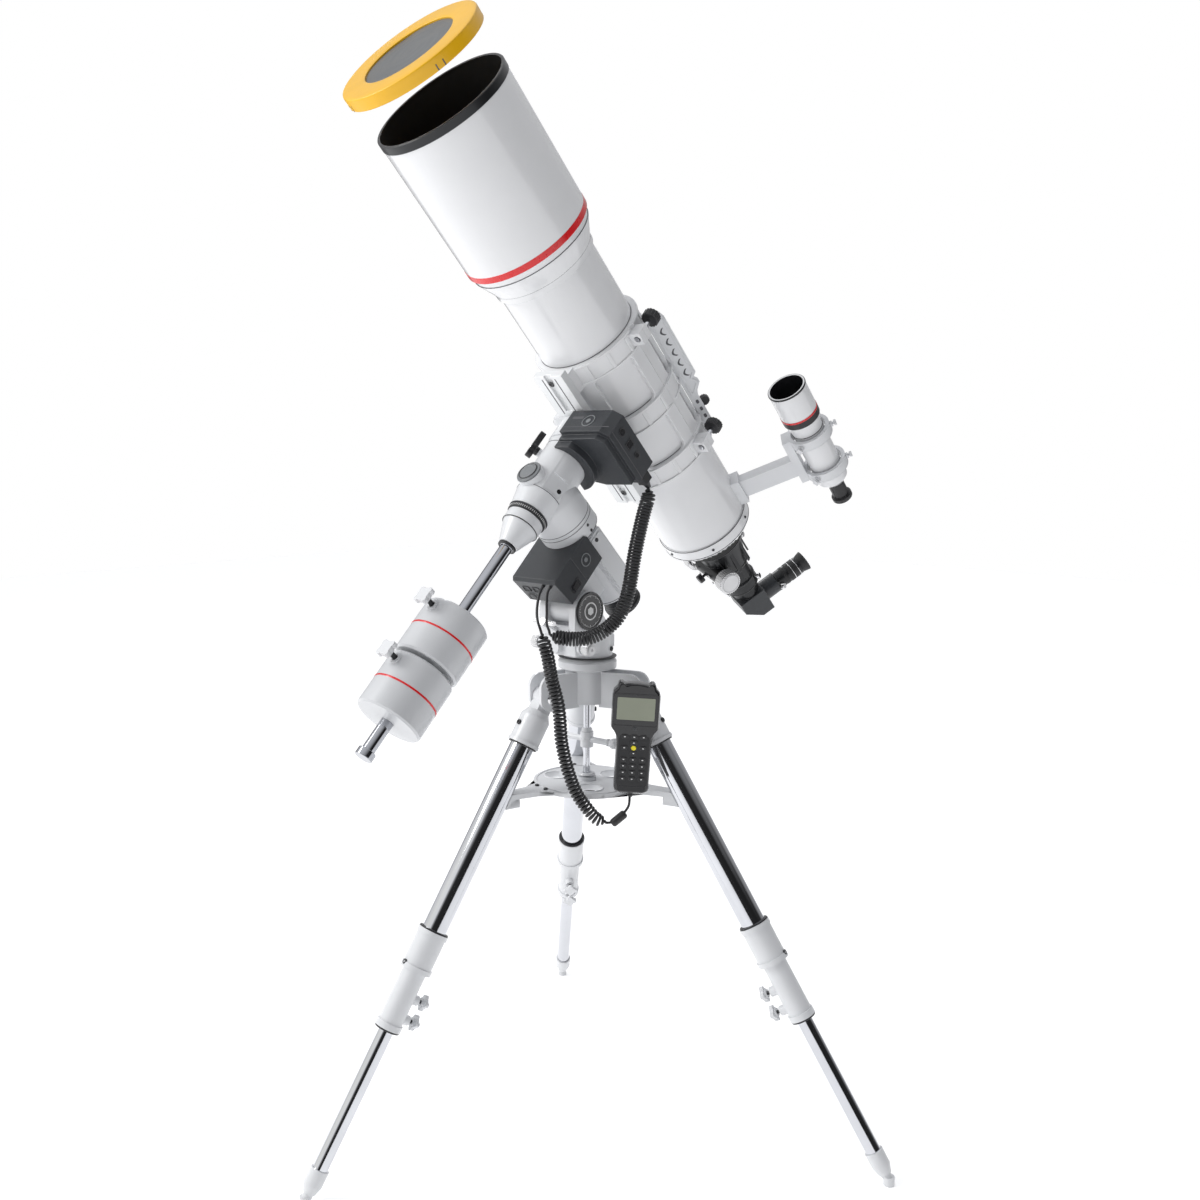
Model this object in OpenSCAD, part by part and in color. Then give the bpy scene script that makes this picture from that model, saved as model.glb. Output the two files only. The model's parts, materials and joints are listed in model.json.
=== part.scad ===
// Short refractor telescope on a motor-driven German equatorial mount and a steel-leg tripod.
// Millimetres, +Z up, origin on the ground at the tripod's centre line.
// North, the side of the mount's counterweights, is -Y. East is +X.

/* [Tripod] */
// Angle of each leg from the vertical, degrees
leg_splay = 31; // [29:0.5:33]
// Turn of the tripod head about the centre line, degrees
tripod_turn = 18.3; // [10:0.1:30]
// Height at which the three leg axes would meet
apex_height = 876; // [860:1:890]
// Outside diameter of the upper leg tubes
upper_tube_d = 40; // [38:0.5:42]
// Outside diameter of the lower leg tubes
lower_tube_d = 25; // [22:0.5:28]
// Diameter of the spreader plate
plate_d = 180; // [170:1:190]
// Diameter of the three tray holes in the spreader plate
tray_hole_d = 40; // [32:1:46]

/* [Mount] */
// Latitude that the polar axis is set to, degrees
latitude = 45; // [40:1:50]
// Height of the latitude hinge above the ground
hinge_height = 880; // [876:1:886]
// Radius of the declination housing
dec_housing_r = 40; // [38:0.5:41]
// Radius of the polar axis housing
ra_housing_r = 39; // [37:0.5:41]

/* [Counterweights] */
// Diameter of the counterweight shaft
shaft_d = 20; // [18:0.5:22]
// Diameter of each counterweight
weight_d = 106; // [100:1:112]
// Length of each counterweight
weight_length = 92; // [80:1:94]
// Distance of the upper weight below the polar axis
weight_upper_at = 304; // [280:1:306]
// Distance of the lower weight below the polar axis
weight_lower_at = 403; // [402:1:420]

/* [Optical tube] */
// Outside diameter of the main tube
tube_d = 165; // [160:1:168]
// Outside diameter of the dew shield
dew_shield_d = 210; // [204:1:214]
// Distance from the declination axis centre to the front rim of the dew shield
rim_at = 540; // [520:1:550]
// Gap between the sun filter's skirt and the dew shield's rim
filter_gap = 60; // [50:1:70]

/* [Hidden] */
$fn = 48;
gap = 0.3;             // clearance between curved faces of parts that move
fit = 0.05;            // radial clearance of shafts and hinge pins
wall = 2.5;            // tube wall
// tripod
hip_r = 84;            // distance of the leg pivots from the centre line
hip_s = hip_r / sin(leg_splay);
hip_z = apex_height - hip_r / tan(leg_splay);
foot_s = apex_height / cos(leg_splay);
leg_length = foot_s - hip_s;
hub_bottom = 721;
hub_top = 798;
housing_end = -232;    // rear end of the polar axis housing
hub_r = 39;
socket_top = -26;      // stations along a leg, measured up from its pivot
socket_bottom = -86;
collar_top = -411;
collar_bottom = -573;
clamp_at = [-520, -553];
lower_top = -321;
foot_top = -817;
plate_z = 577;         // underside of the spreader plate
plate_t = 8;
rod_r = 6;
// mount
hinge_y = -40;         // latitude hinge, north of the centre line
ra_reach = 180;        // along the polar axis from the hinge to the axes' crossing
dec_rise = 90;         // from the hinge to the polar axis
tube_offset = 246;     // from the polar axis to the optical axis
ear_inner = 26;
ear_outer = 40;
ear_r = 33;
pin_r = 8;
drum_bottom = -64;     // lower face of the declination housing's drum
flange_bottom = -88;
saddle_top = 129;
bar_bottom = 132;
bar_top = 146;
clutch_y = 62;         // height of the clutch lever post along the declination axis
nose_top = -57;
nose_bottom = -112;
shaft_r = shaft_d / 2;
shaft_end = -500;
knob_up = 30;          // height of a weight's knob above the weight's middle
// optical tube
tube_r = tube_d / 2;
dew_r = dew_shield_d / 2;
ring_r = tube_r + 8.5;
ring_at = [95, -30, -141];
ring_w = 36;
finder_phi = 57;       // direction of the finder round the tube, from the top towards east
finder_rho = 242;
focus_phi = 25;        // turn of the focuser
diagonal_phi = 32;     // turn of the star diagonal
handle_phi = 44;       // direction of the carrying handle round the tube
split_phi = 86;        // side on which the cradle opens
draw_end = -490;       // rear end of the drawtube
eyepiece_r = 15.8;     // eyepiece barrel
eyepiece_at = -71;     // eyepiece axis behind the drawtube
// curly cord from the declination motor to the polar axis motor, and the handset's cord
coil_r = 12;
hand_coil_r = 11;
lead_r = 2;
dec_tail = [[34, -122, 926], [34, -129, 918], [36, -133, 903], [37, -134, 885], [36, -133, 868],
    [37, -127, 854]];
dec_coil = [[35, -128, 850], [56, -116, 846], [72, -99, 845], [85, -81, 848], [98, -62, 860],
    [106, -42, 879],
    [110, -29, 906], [109, -19, 932], [106, -8, 965], [104, 4, 998], [103, 16, 1030], [103, 25, 1052],
    [104, 28, 1062], [104, 28, 1071]];
hand_tail = [[18, -123, 925], [19, -131, 917], [21, -138, 902], [25, -144, 887], [34, -151, 875],
    [42, -151, 857]];
hand_coil = [[41, -151, 860], [46, -149, 841], [47, -142, 819], [46, -136, 798], [45, -130, 778],
    [46, -124, 759],
    [48, -119, 738], [49, -116, 712], [49, -113, 681], [52, -107, 648], [57, -100, 618], [64, -91, 590],
    [73, -80, 569], [84, -69, 551], [96, -56, 543]];
hand_lead = [[96, -56, 543], [102, -49, 544], [109, -42, 550], [115, -35, 560], [119, -29, 571],
    [119, -27, 585]];

module frame_leg(k) {
    rotate([0, 0, tripod_turn + 120 * k]) translate([hip_r, 0, hip_z])
        rotate([0, -leg_splay, 0]) children();
}
module frame_latitude() {
    translate([0, hinge_y, hinge_height]) rotate([90 - latitude, 0, 0]) children();
}
// axes: x east, y along the declination axis towards the tube, z up the polar axis
module frame_head() {
    frame_latitude() translate([0, dec_rise, ra_reach]) children();
}
// origin on the optical axis, over the declination axis
module frame_tube() {
    frame_head() translate([0, tube_offset, 0]) children();
}
// turns a feature's +y to the direction phi round the tube
module round_tube(phi) {
    rotate([0, 0, -phi]) children();
}
module tube(r, inner, h) {
    difference() {
        cylinder(r = r, h = h);
        translate([0, 0, -1]) cylinder(r = inner, h = h + 2);
    }
}
// cylinder along y from y0 to y1
module along_y(r, y0, y1) {
    translate([0, y0, 0]) rotate([-90, 0, 0]) cylinder(r = r, h = y1 - y0);
}
// cylinder along x from x0 to x1
module along_x(r, x0, x1) {
    translate([x0, 0, 0]) rotate([0, 90, 0]) cylinder(r = r, h = x1 - x0);
}
// wing-head thumbscrew standing on z = 0 with its stem down to -stem
module thumbscrew(stem, stem_r, head_r, head_h) {
    translate([0, 0, -stem]) cylinder(r = stem_r, h = stem);
    cylinder(r = head_r * 0.5, h = head_h * 0.6);
    translate([0, 0, head_h * 0.3]) {
        cylinder(r = head_r * 0.72, h = head_h * 0.7);
        for (a = [0:90:270]) rotate([0, 0, a]) translate([head_r * 0.68, 0, 0])
            cylinder(r = head_r * 0.32, h = head_h * 0.7);
    }
}
module knob(r, h, flutes) {
    difference() {
        cylinder(r = r, h = h);
        for (a = [0:360 / flutes:359]) rotate([0, 0, a]) translate([r + 0.6, 0, -1])
            cylinder(r = 1.5, h = h + 2, $fn = 16);
    }
}

// ---------- tripod ----------
module tripod_hub() color("whitesmoke") difference() {
    union() {
        translate([0, 0, hub_bottom]) cylinder(r = hub_r, h = hub_top - hub_bottom);
        translate([0, 0, 775]) cylinder(r1 = hub_r, r2 = 49, h = 4);
        translate([0, 0, 779]) cylinder(r = 49, h = 11);
        translate([0, 0, 790]) cylinder(r1 = 49, r2 = 43, h = 8);
        for (k = [0:2]) rotate([0, 0, tripod_turn + 120 * k]) for (s = [-1, 1])
            translate([0, s * 16.5 + 3, 0]) rotate([90, 0, 0]) linear_extrude(6) hub_cheek();
    }
    translate([0, 0, hub_bottom - 1]) cylinder(r = rod_r + 1, h = hub_top - hub_bottom + 2);
    for (k = [0:2]) rotate([0, 0, tripod_turn + 120 * k]) translate([hip_r, 0, hip_z]) along_y(4, -30, 30);
}
module hub_cheek() {
    translate([30, 716]) square([hip_r - 30, 59]);
    translate([hip_r, hip_z]) circle(r = 21);
    translate([hip_r, hip_z]) square([21, 22]);
    translate([hip_r, hip_z + 17.8]) circle(r = 21);
}
module hub_hardware() {
    for (k = [0:2]) rotate([0, 0, tripod_turn + 120 * k]) translate([hip_r, 0, hip_z]) color("silver") {
        along_y(4, -24, 24);
        along_y(7, 19.5, 24);
        along_y(7, -24, -19.5);
    }
    color("dimgray") frame_handset() {
        translate([-17, 14, 10]) cube([34, 4, 62]);
        translate([3, 14, 52]) cube([18, 31, 18]);
    }
}
module leg_top(k) frame_leg(k) color("whitesmoke") difference() {
    union() {
        along_y(17, -13, 13);
        translate([-13, -13, socket_top]) cube([26, 26, -socket_top]);
        translate([0, 0, socket_top - 12]) cylinder(r1 = upper_tube_d / 2 + 5, r2 = 18, h = 12);
        translate([0, 0, socket_bottom]) cylinder(r = upper_tube_d / 2 + 5, h = socket_top - 12 - socket_bottom);
        translate([0, 0, socket_bottom]) cylinder(r = upper_tube_d / 2 + 6.5, h = 6);
    }
    along_y(4 + fit, -14, 14);
    translate([0, 0, socket_bottom - 1]) cylinder(r = upper_tube_d / 2, h = 41);
}
module leg_tube(k) frame_leg(k) color("silver") translate([0, 0, collar_top - 30])
    tube(upper_tube_d / 2, upper_tube_d / 2 - 2, socket_bottom + 40 - collar_top + 30);
module leg_collar(k) frame_leg(k) color("whitesmoke") {
    collar_casting();
    for (z = clamp_at) translate([-36, 0, z]) rotate([0, -90, 0]) thumbscrew(22, 3, 13, 9);
}
module collar_casting() difference() {
    union() {
        translate([0, 0, collar_bottom]) cylinder(r = lower_tube_d / 2 + 7, h = collar_top - collar_bottom);
        translate([0, 0, collar_top - 66]) cylinder(r = upper_tube_d / 2 + 4, h = 66);
        translate([0, 0, collar_top - 66]) cylinder(r = upper_tube_d / 2 + 6, h = 8);
        translate([0, 0, collar_top - 8]) cylinder(r = upper_tube_d / 2 + 5.5, h = 8);
        translate([0, 0, collar_bottom]) cylinder(r = lower_tube_d / 2 + 9, h = 10);
        for (z = clamp_at) translate([0, 0, z]) along_x(8, -29, 0);
    }
    translate([0, 0, collar_bottom - 1]) cylinder(r = lower_tube_d / 2 + gap, h = 200);
    translate([0, 0, collar_top - 30]) cylinder(r = upper_tube_d / 2, h = 31);
    for (z = clamp_at) translate([0, 0, z]) along_x(3, -30, 0);
}
module leg_lower(k) frame_leg(k) color("silver") translate([0, 0, foot_top - 6])
    tube(lower_tube_d / 2, lower_tube_d / 2 - 2, lower_top - foot_top + 6);
module leg_foot(k) frame_leg(k) color("whitesmoke") difference() {
    union() {
        translate([0, 0, foot_top - 8]) cylinder(r = lower_tube_d / 2 + 2.5, h = 24);
        translate([0, 0, foot_top - 22]) cylinder(r1 = 10, r2 = lower_tube_d / 2 + 2.5, h = 14);
        translate([0, 0, 9 - leg_length]) rotate([0, leg_splay, 0]) translate([0, 0, -7.7])
            cylinder(r = 9, h = 14);
        translate([0, 0, 4 - leg_length + 8]) cylinder(r = 8, h = 24);
    }
    translate([0, 0, foot_top - 6]) tube(lower_tube_d / 2, lower_tube_d / 2 - 2, 30);
}
module centre_rod() color("silver") {
    translate([0, 0, 545]) cylinder(r = rod_r, h = 270);
    translate([0, 0, 642]) cylinder(r = 11, h = 26);
    rotate([0, 0, 6]) {
        translate([0, 0, 655]) along_x(5, -56, 56);
        for (s = [-1, 1]) translate([s * 56, 0, 655]) sphere(r = 9, $fn = 32);
    }
}
module spreader_plate() color("whitesmoke") difference() {
    union() {
        translate([0, 0, plate_z]) cylinder(r = plate_d / 2, h = plate_t);
        translate([0, 0, plate_z - 4]) cylinder(r = 16, h = plate_t + 10);
        for (k = [0:2]) rotate([0, 0, tripod_turn + 120 * k]) {
            translate([0, 0, plate_z]) linear_extrude(plate_t)
                polygon([[70, -34], [110, -18], [156, -13], [156, 13], [110, 18], [70, 34]]);
            translate([142, -13, plate_z - 14]) cube([30, 26, 14 + plate_t]);
        }
    }
    for (k = [0:2]) rotate([0, 0, tripod_turn + 60 + 120 * k]) translate([55, 0, plate_z - 1])
        cylinder(r = tray_hole_d / 2, h = plate_t + 2);
    translate([0, 0, plate_z - 5]) cylinder(r = rod_r + 0.5, h = 30);
    for (k = [0:2]) frame_leg(k) translate([0, 0, -300]) cylinder(r = upper_tube_d / 2 + gap, h = 250);
}
module spreader_nut() color("dimgray") difference() {
    union() {
        translate([0, 0, plate_z - 6]) cylinder(r = 12, h = 2);
        translate([0, 0, plate_z - 22]) knob(14, 16, 12);
    }
    translate([0, 0, plate_z - 23]) cylinder(r = rod_r + fit, h = 30);
}

// ---------- mount head ----------
module azimuth_base() color("whitesmoke") difference() {
    union() {
        translate([0, 0, hub_top]) cylinder(r = 42, h = 38);
        translate([-ear_outer, -72, 808]) cube([2 * ear_outer, 72, 30]);
        for (s = [-1, 1]) translate([s * (ear_inner + ear_outer) / 2 - 7, 0, 0])
            rotate([90, 0, 90]) linear_extrude(14) ear_profile();
        translate([0, -72, 822]) rotate([90, 0, 0]) cylinder(r = 12, h = 10);
        translate([0, -60, 822]) along_x(11, -46, 46);
        translate([0, -66, 846]) along_x(10, -ear_inner - 1, ear_inner + 1);
    }
    translate([0, -66, 846]) rotate([64, 0, 0]) cylinder(r = 4 + fit, h = 60, center = true);
    translate([0, 0, hub_top - 1]) cylinder(r = rod_r + 0.5, h = 20);
    translate([0, hinge_y, hinge_height]) along_x(pin_r + fit, -41, 41);
    translate([0, -60, 822]) along_x(5, -48, -20);
    translate([0, -60, 822]) along_x(5, 20, 48);
}
module ear_profile() {
    translate([hinge_y, hinge_height]) circle(r = ear_r);
    translate([hinge_y - ear_r, 820]) square([2 * ear_r, hinge_height - 820]);
    polygon([[-72, 815], [-73, 860], [-7, 872], [22, 834], [22, 815]]);
}
module azimuth_knob(s) color("silver") translate([0, -60, 822]) {
    along_x(5 - gap, min(s * 24, s * 58), max(s * 24, s * 58));
    translate([s > 0 ? 50 : -64, 0, 0]) rotate([0, 90, 0]) knob(11, 14, 16);
}
module latitude_screw() color("silver") translate([0, -66, 846]) rotate([64, 0, 0]) {
    translate([0, 0, -16]) cylinder(r = 4, h = 62);
    translate([0, 0, 32]) cylinder(r = 7, h = 14);
    translate([0, 0, 40]) along_x(4, -22, 22);
}
module ra_housing() frame_head() color("whitesmoke") difference() {
    union() {
        translate([0, 0, housing_end]) cylinder(r = ra_housing_r, h = flange_bottom - housing_end);
        translate([0, 0, flange_bottom]) cylinder(r = 48, h = drum_bottom - flange_bottom);
        translate([20, -20, housing_end + 8]) cube([22, 40, 126]);
        translate([-ear_inner + gap, -84, -196]) cube([2 * (ear_inner - gap), 60, 96]);
        translate([0, -dec_rise, -ra_reach]) along_x(24, -ear_inner + gap, ear_inner - gap);
        translate([0, -dec_rise, -ra_reach]) along_x(pin_r, -39, 39);
        translate([-36, -52, -136]) cube([72, 40, 56]);
    }
    translate([0, 0, -250]) cylinder(r = 22 + fit, h = 200);
}
module polar_scope() frame_head() color("dimgray") translate([0, 0, housing_end]) {
    translate([0, 0, -14]) tube(26, 16, 14);
    translate([0, 0, -36]) difference() {
        cylinder(r1 = 32, r2 = 26, h = 22.5);
        translate([0, 0, -1]) cylinder(r1 = 28, r2 = 16, h = 24);
    }
    translate([0, 0, -41]) tube(33, 27, 5.5);
}
module ra_motor_box() frame_head() color("dimgray") difference() {
    translate([-48, 0, 0]) rotate([90, 0, 90]) linear_extrude(96)
        polygon([[-112, -136], [-116, -84], [-111, -79], [-18, -79], [-14, -84], [-14, -136]]);
    translate([0, 0, -137]) cylinder(r = 48, h = 80);
    translate([-36, -52, -137]) cube([72, 53, 57]);
}

module dec_housing() frame_head() color("whitesmoke") difference() {
    union() {
        along_y(dec_housing_r, -16, 88);
        translate([0, -16, 0]) rotate([90, 0, 0]) cylinder(r1 = dec_housing_r, r2 = 33, h = 33);
        translate([0, 0, drum_bottom + gap]) cylinder(r = 48, h = 46 - gap);
        translate([0, 0, -18]) cylinder(r1 = 48, r2 = 30, h = 34);
        cylinder(r = 22, h = 46);
        translate([0, 0, -170]) cylinder(r = 22, h = 120);
        translate([-33, clutch_y, 22]) rotate([0, -33, 0]) cylinder(r = 7, h = 7);
    }
    along_y(shaft_r + fit, -50, 89);
    translate([0, 0, -171]) cylinder(r = 14, h = 140);
    // flat pocket with the opening for the setting screw
    rotate([0, 67, 0]) {
        translate([-18, -14, 36.8]) cube([35, 33, 12]);
        translate([10, -1, 25]) cylinder(r = 4, h = 20);
    }
}
module polar_cap() frame_head() color("gray") {
    translate([0, 0, 46]) cylinder(r = 19, h = 5);
    translate([0, 0, 46]) cylinder(r = 21, h = 3);
}
module dec_circle() frame_head() color("dimgray") difference() {
    along_y(33, nose_top, -49);
    along_y(shaft_r + 1, nose_top - 1, -48);
}
module dec_motor_box() frame_head() color("dimgray") difference() {
    union() {
        translate([0, saddle_top - 0.6, 0]) rotate([90, 0, 0]) linear_extrude(46)
            polygon([[14, 54], [98, 54], [112, 42], [112, -60], [50, -60], [14, -46]]);
        translate([0, saddle_top - 46.6, 0]) rotate([90, 0, 0]) linear_extrude(10)
            polygon([[14, 46], [92, 48], [106, 38], [106, -54], [52, -56], [14, -46]]);
        intersection() {
            along_y(58, 60, 80);
            translate([10, 50, -70]) cube([60, 40, 112]);
        }
    }
    along_y(42 + 2 * gap, 88, saddle_top + 1);
    along_y(dec_housing_r, 50, 89);
}
module dec_clutch() frame_head() color("black") {
    translate([-33, clutch_y, 22]) rotate([0, -33, 0]) {
        translate([0, 0, 7]) cylinder(r = 7, h = 6);
        translate([-7, -20, 12]) cube([14, 52, 11]);
    }
}
module saddle() frame_head() color("whitesmoke") {
    difference() {
        along_y(42, 88 + gap, saddle_top);
        along_y(shaft_r, 87, saddle_top - 8);
    }
    translate([-42, saddle_top, -38]) cube([84, bar_bottom - saddle_top, 76]);
    for (x = [-42, 31]) translate([x, bar_bottom, -38]) cube([11, 12, 76]);
    for (z = [-22, 22]) translate([0, bar_bottom + 6, z]) along_x(7, -52, -42);
}
module dovetail_bar() frame_head() color("silver") difference() {
    translate([-31, bar_bottom, -166]) cube([62, bar_top - bar_bottom, 290]);
    translate([-7, bar_bottom - 1, -170]) cube([14, 5, 80]);
    translate([-7, bar_bottom - 1, 50]) cube([14, 5, 80]);
}
module cw_nose() frame_head() color("whitesmoke") difference() {
    translate([0, nose_top - gap, 0]) rotate([90, 0, 0])
        cylinder(r1 = 31, r2 = 15, h = nose_top - gap - nose_bottom);
    along_y(shaft_r, nose_bottom - 1, nose_top + 1);
}
module cw_shaft() frame_head() color("silver") {
    along_y(shaft_r, shaft_end, saddle_top - 8);
    along_y(14, shaft_end - 12, shaft_end);
    along_y(13, nose_bottom - 4, nose_bottom);
}
module weight(at) frame_head() color("gainsboro") difference() {
    translate([0, -at - weight_length / 2, 0]) rotate([-90, 0, 0]) rotate_extrude($fn = 96)
        polygon([[shaft_r + gap, 0], [weight_d / 2 - 3, 0], [weight_d / 2, 3],
            [weight_d / 2, weight_length - 3],
            [weight_d / 2 - 3, weight_length], [shaft_r + gap, weight_length]]);
    translate([0, knob_up - at, 0]) cylinder(r = 4 + gap, h = weight_d);
}
module weight_knob(at) frame_head() color("whitesmoke") translate([0, knob_up - at, weight_d / 2 + 14])
    rotate([0, 0, 45]) thumbscrew(weight_d / 2 + 14 - shaft_r - 1, 4, 16, 12);

// ---------- optical tube ----------
module main_tube() frame_tube() color("white") {
    translate([0, 0, -330]) tube(tube_r, tube_r - wall, 580);
    difference() {
        union() {
            translate([0, 0, -350]) cylinder(r = tube_r + 2, h = 21);
            translate([0, 0, -378]) cylinder(r1 = 62, r2 = tube_r + 2, h = 28);
        }
        translate([0, 0, -379]) cylinder(r = 50, h = 50);
    }
}
module dew_shield() frame_tube() color("white") difference() {
    translate([0, 0, 0]) rotate_extrude($fn = 96) polygon([[dew_r - 3.5, rim_at], [dew_r, rim_at],
        [dew_r, 300], [dew_r - 4, 300], [dew_r - 4, 288], [tube_r + 4, 256], [tube_r + 4, 246],
            [tube_r, 246],
        [tube_r, 262], [dew_r - 8, 290], [dew_r - 8, 300], [dew_r - 3.5, 304]]);
}
module objective() frame_tube() color("lightblue") translate([0, 0, 250]) cylinder(r = tube_r, h = 12);
module cradle_band(z, h) {
    translate([0, 0, z - h / 2]) tube(ring_r, tube_r, h);
}
module cradle_half(upper) difference() {
    union() {
        for (z = ring_at) cradle_band(z, ring_w);
        for (a = upper ? [78, handle_phi, -50] : [94, 158, 242]) round_tube(a)
            translate([-12, tube_r - 2, ring_at[2]])
            cube([24, 8, ring_at[0] - ring_at[2]]);
    }
    cylinder(r = upper ? tube_r + gap : tube_r, h = 700, center = true);
    round_tube(split_phi) translate([upper ? -0.2 : -119.8, -150, -300]) cube([120, 300, 600]);
    for (z = [ring_at[0], ring_at[2]]) cradle_hinge(z + (upper ? -18.3 : -0.1))
        cylinder(r = 6 + gap, h = 18.4);
}
// places a hinge knuckle on the side opposite the lugs
module cradle_hinge(z) {
    round_tube(split_phi - 180) translate([0, ring_r + 3, z]) children();
}
module cradle_lower() frame_tube() color("white") {
    cradle_half(false);
    difference() {
        for (z = [ring_at[0], ring_at[2]])
            translate([-31, bar_top - tube_offset, z - 20]) cube([62, 34, 40]);
        cylinder(r = ring_r - 1, h = 700, center = true);
    }
    for (z = [ring_at[0], ring_at[2]]) {
        cradle_lug(z, 1);
        cradle_hinge(z - 17.5) cylinder(r = 6, h = 17.2);
        cradle_hinge(z - 17) cylinder(r = 2.5, h = 34);
    }
}
// lug beside the split, on the lower (1) or the upper (-1) half
module cradle_lug(z, side) round_tube(split_phi) difference() {
    translate([side > 0 ? 0.2 : -12.2, ring_r - 6, z - 11]) cube([12, 26, 22]);
    translate([0, ring_r + 11, z]) along_x(side > 0 ? 5.5 : 4 + gap, -20, 20);
}
module cradle_upper() frame_tube() color("white") {
    cradle_half(true);
    for (z = [ring_at[0], ring_at[2]]) {
        cradle_lug(z, -1);
        difference() {
            cradle_hinge(z + 0.3) cylinder(r = 6, h = 17.2);
            cradle_hinge(z - 1) cylinder(r = 2.5 + fit, h = 30);
        }
    }
}
module ring_knob(z) frame_tube() color("black") round_tube(split_phi) translate([0, ring_r + 11, z]) {
    along_x(4, -34, 14);
    translate([-46, 0, 0]) rotate([0, 90, 0]) knob(12, 13, 14);
}
module handle_plate() frame_tube() color("whitesmoke") round_tube(handle_phi)
    translate([-7, 0, 0]) rotate([90, 0, 90]) linear_extrude(14)
        polygon([[ring_r - 1, 84], [116, 76], [121, 62], [121, -52], [112, -60], [119, -72], [109, -84],
            [106, -92], [106, -146], [ring_r - 1, -158]]);
module focuser_body() frame_tube() round_tube(focus_phi) color("dimgray") difference() {
    union() {
        translate([0, 0, -392]) cylinder(r = 50, h = 40);
        translate([0, 0, -452]) cylinder(r1 = 36, r2 = 46, h = 60);
        translate([0, -36, -436]) along_x(15, -40, 40);
    }
    translate([0, 0, -453]) cylinder(r = 30 + gap, h = 110);
    translate([0, -36, -436]) along_x(4 + fit, -45, 45);
}
module drawtube() frame_tube() color("black") {
    translate([0, 0, draw_end]) tube(30, 27, 150);
    translate([0, 0, draw_end - 22]) tube(33, 26, 22);
}
module focus_knobs() frame_tube() round_tube(focus_phi) translate([0, -36, -436]) color("silver") {
    along_x(4, -66, 66);
    for (s = [-1, 1]) translate([s > 0 ? 46 : -66, 0, 0]) rotate([0, 90, 0]) knob(21, 20, 30);
}
module diagonal() frame_tube() round_tube(diagonal_phi) translate([0, 0, draw_end]) color("dimgray") {
    translate([0, 0, -46]) tube(25.5, 21, 58);
    difference() {
        translate([-27, -28, -98]) cube([54, 54, 54]);
        translate([0, -14, -84]) rotate([-45, 0, 0]) translate([-40, -60, -40]) cube([80, 120, 40]);
    }
    translate([0, 0, eyepiece_at]) difference() {
        along_y(19.5, 24, 58);
        along_y(eyepiece_r + fit, 32, 59);
    }
}
module eyepiece() frame_tube() round_tube(diagonal_phi)
    translate([0, 0, draw_end + eyepiece_at]) color("black") {
    along_y(eyepiece_r, 34, 60);
    along_y(17.5, 58.3, 112);
    translate([0, 112, 0]) rotate([-90, 0, 0]) cylinder(r1 = 15, r2 = 20, h = 14);
}
module finder_bracket() frame_tube() round_tube(finder_phi) color("white") {
    translate([-16, tube_r - 2, -322]) cube([32, 16, 50]);
    translate([-10, tube_r + 8, -314]) cube([20, finder_rho - tube_r - 50, 36]);
    translate([-15, finder_rho - 48, -328]) cube([30, 14, 94]);
    for (z = [-243, -319]) translate([0, finder_rho, z - 9]) tube(37, 31, 18);
    for (z = [-243, -319]) for (a = [60, 180, 300]) translate([0, finder_rho, z]) rotate([0, 0, a - 60])
        translate([0, 42, 0]) rotate([-90, 0, 0]) thumbscrew(15.2, 2, 6, 5);
}
module finder() frame_tube() round_tube(finder_phi) translate([0, finder_rho, 0]) color("white") {
    translate([0, 0, -198]) tube(32, 29, 60);
    translate([0, 0, -216]) cylinder(r = 30, h = 19);
    translate([0, 0, -350]) cylinder(r = 27, h = 135);
    translate([0, 0, -364]) cylinder(r1 = 15, r2 = 27, h = 14);
    translate([0, 0, -394]) cylinder(r = 14, h = 31);
    translate([0, 0, -402]) cylinder(r = 17, h = 8);
}
module sun_filter() frame_tube() color("gold") translate([0, 0, rim_at + filter_gap]) {
    tube(dew_r + 5, dew_r + 1, 14);
    translate([0, 0, 14]) tube(dew_r + 5, 72, 4);
    translate([0, 0, 13]) cylinder(r = 76, h = 1.5);
}

// ---------- handset and cords ----------
module frame_handset() {
    translate([123, -23, 683]) rotate([0, 0, 42.7]) rotate([0, 3, 0]) children();
}
module handset() frame_handset() color("dimgray") {
    translate([-38, -14, 2]) cube([76, 28, 80]);
    translate([-28, -14, -89]) cube([56, 28, 92]);
    for (s = [-1, 1]) translate([s * 24 - 6, -14, 81]) cube([12, 28, 10]);
    translate([0, 0, -97]) cylinder(r1 = 3.5, r2 = 6, h = 9);
}
module dec_plug() frame_head() color("black") {
    translate([96, 92, -76]) cube([16, 18, 16]);
    translate([104, 100, -88]) cylinder(r1 = 4, r2 = 7, h = 12);
}
function along(p, i) = let (d = p[min(i + 1, len(p) - 1)] - p[max(i - 1, 0)]) d / norm(d);
function across(t) = let (c = cross(t, [0.68, -0.73, 0])) c / norm(c);
function ring(p, i, r, n) = let (t = along(p, i), u = across(t), w = cross(t, u))
    [for (j = [0:n - 1]) p[i] + r * (cos(360 * j / n) * u + sin(360 * j / n) * w)];
// a cord of radius r along the points p
module cord(p, r, n) {
    m = len(p);
    polyhedron(
        points = [for (i = [0:m - 1]) each ring(p, i, r, n)],
        faces = concat([[for (j = [0:n - 1]) j]], [[for (j = [n - 1:-1:0]) (m - 1) * n + j]],
            [for (i = [0:m - 2], j = [0:n - 1]) let (k = (j + 1) % n) [i * n + k, i * n + j, (i + 1) * n + j, (i + 1) * n + k]]));
}
module dec_cord() color("black") {
    cord(dec_tail, lead_r, 8);
    cord(dec_coil, coil_r, 12);
}
module hand_cord() color("black") {
    cord(hand_tail, lead_r, 8);
    cord(hand_coil, hand_coil_r, 12);
    cord(hand_lead, lead_r, 8);
    translate(hand_lead[2]) rotate([0, 50, 47]) cylinder(r = 7, h = 26, center = true);
}

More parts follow.
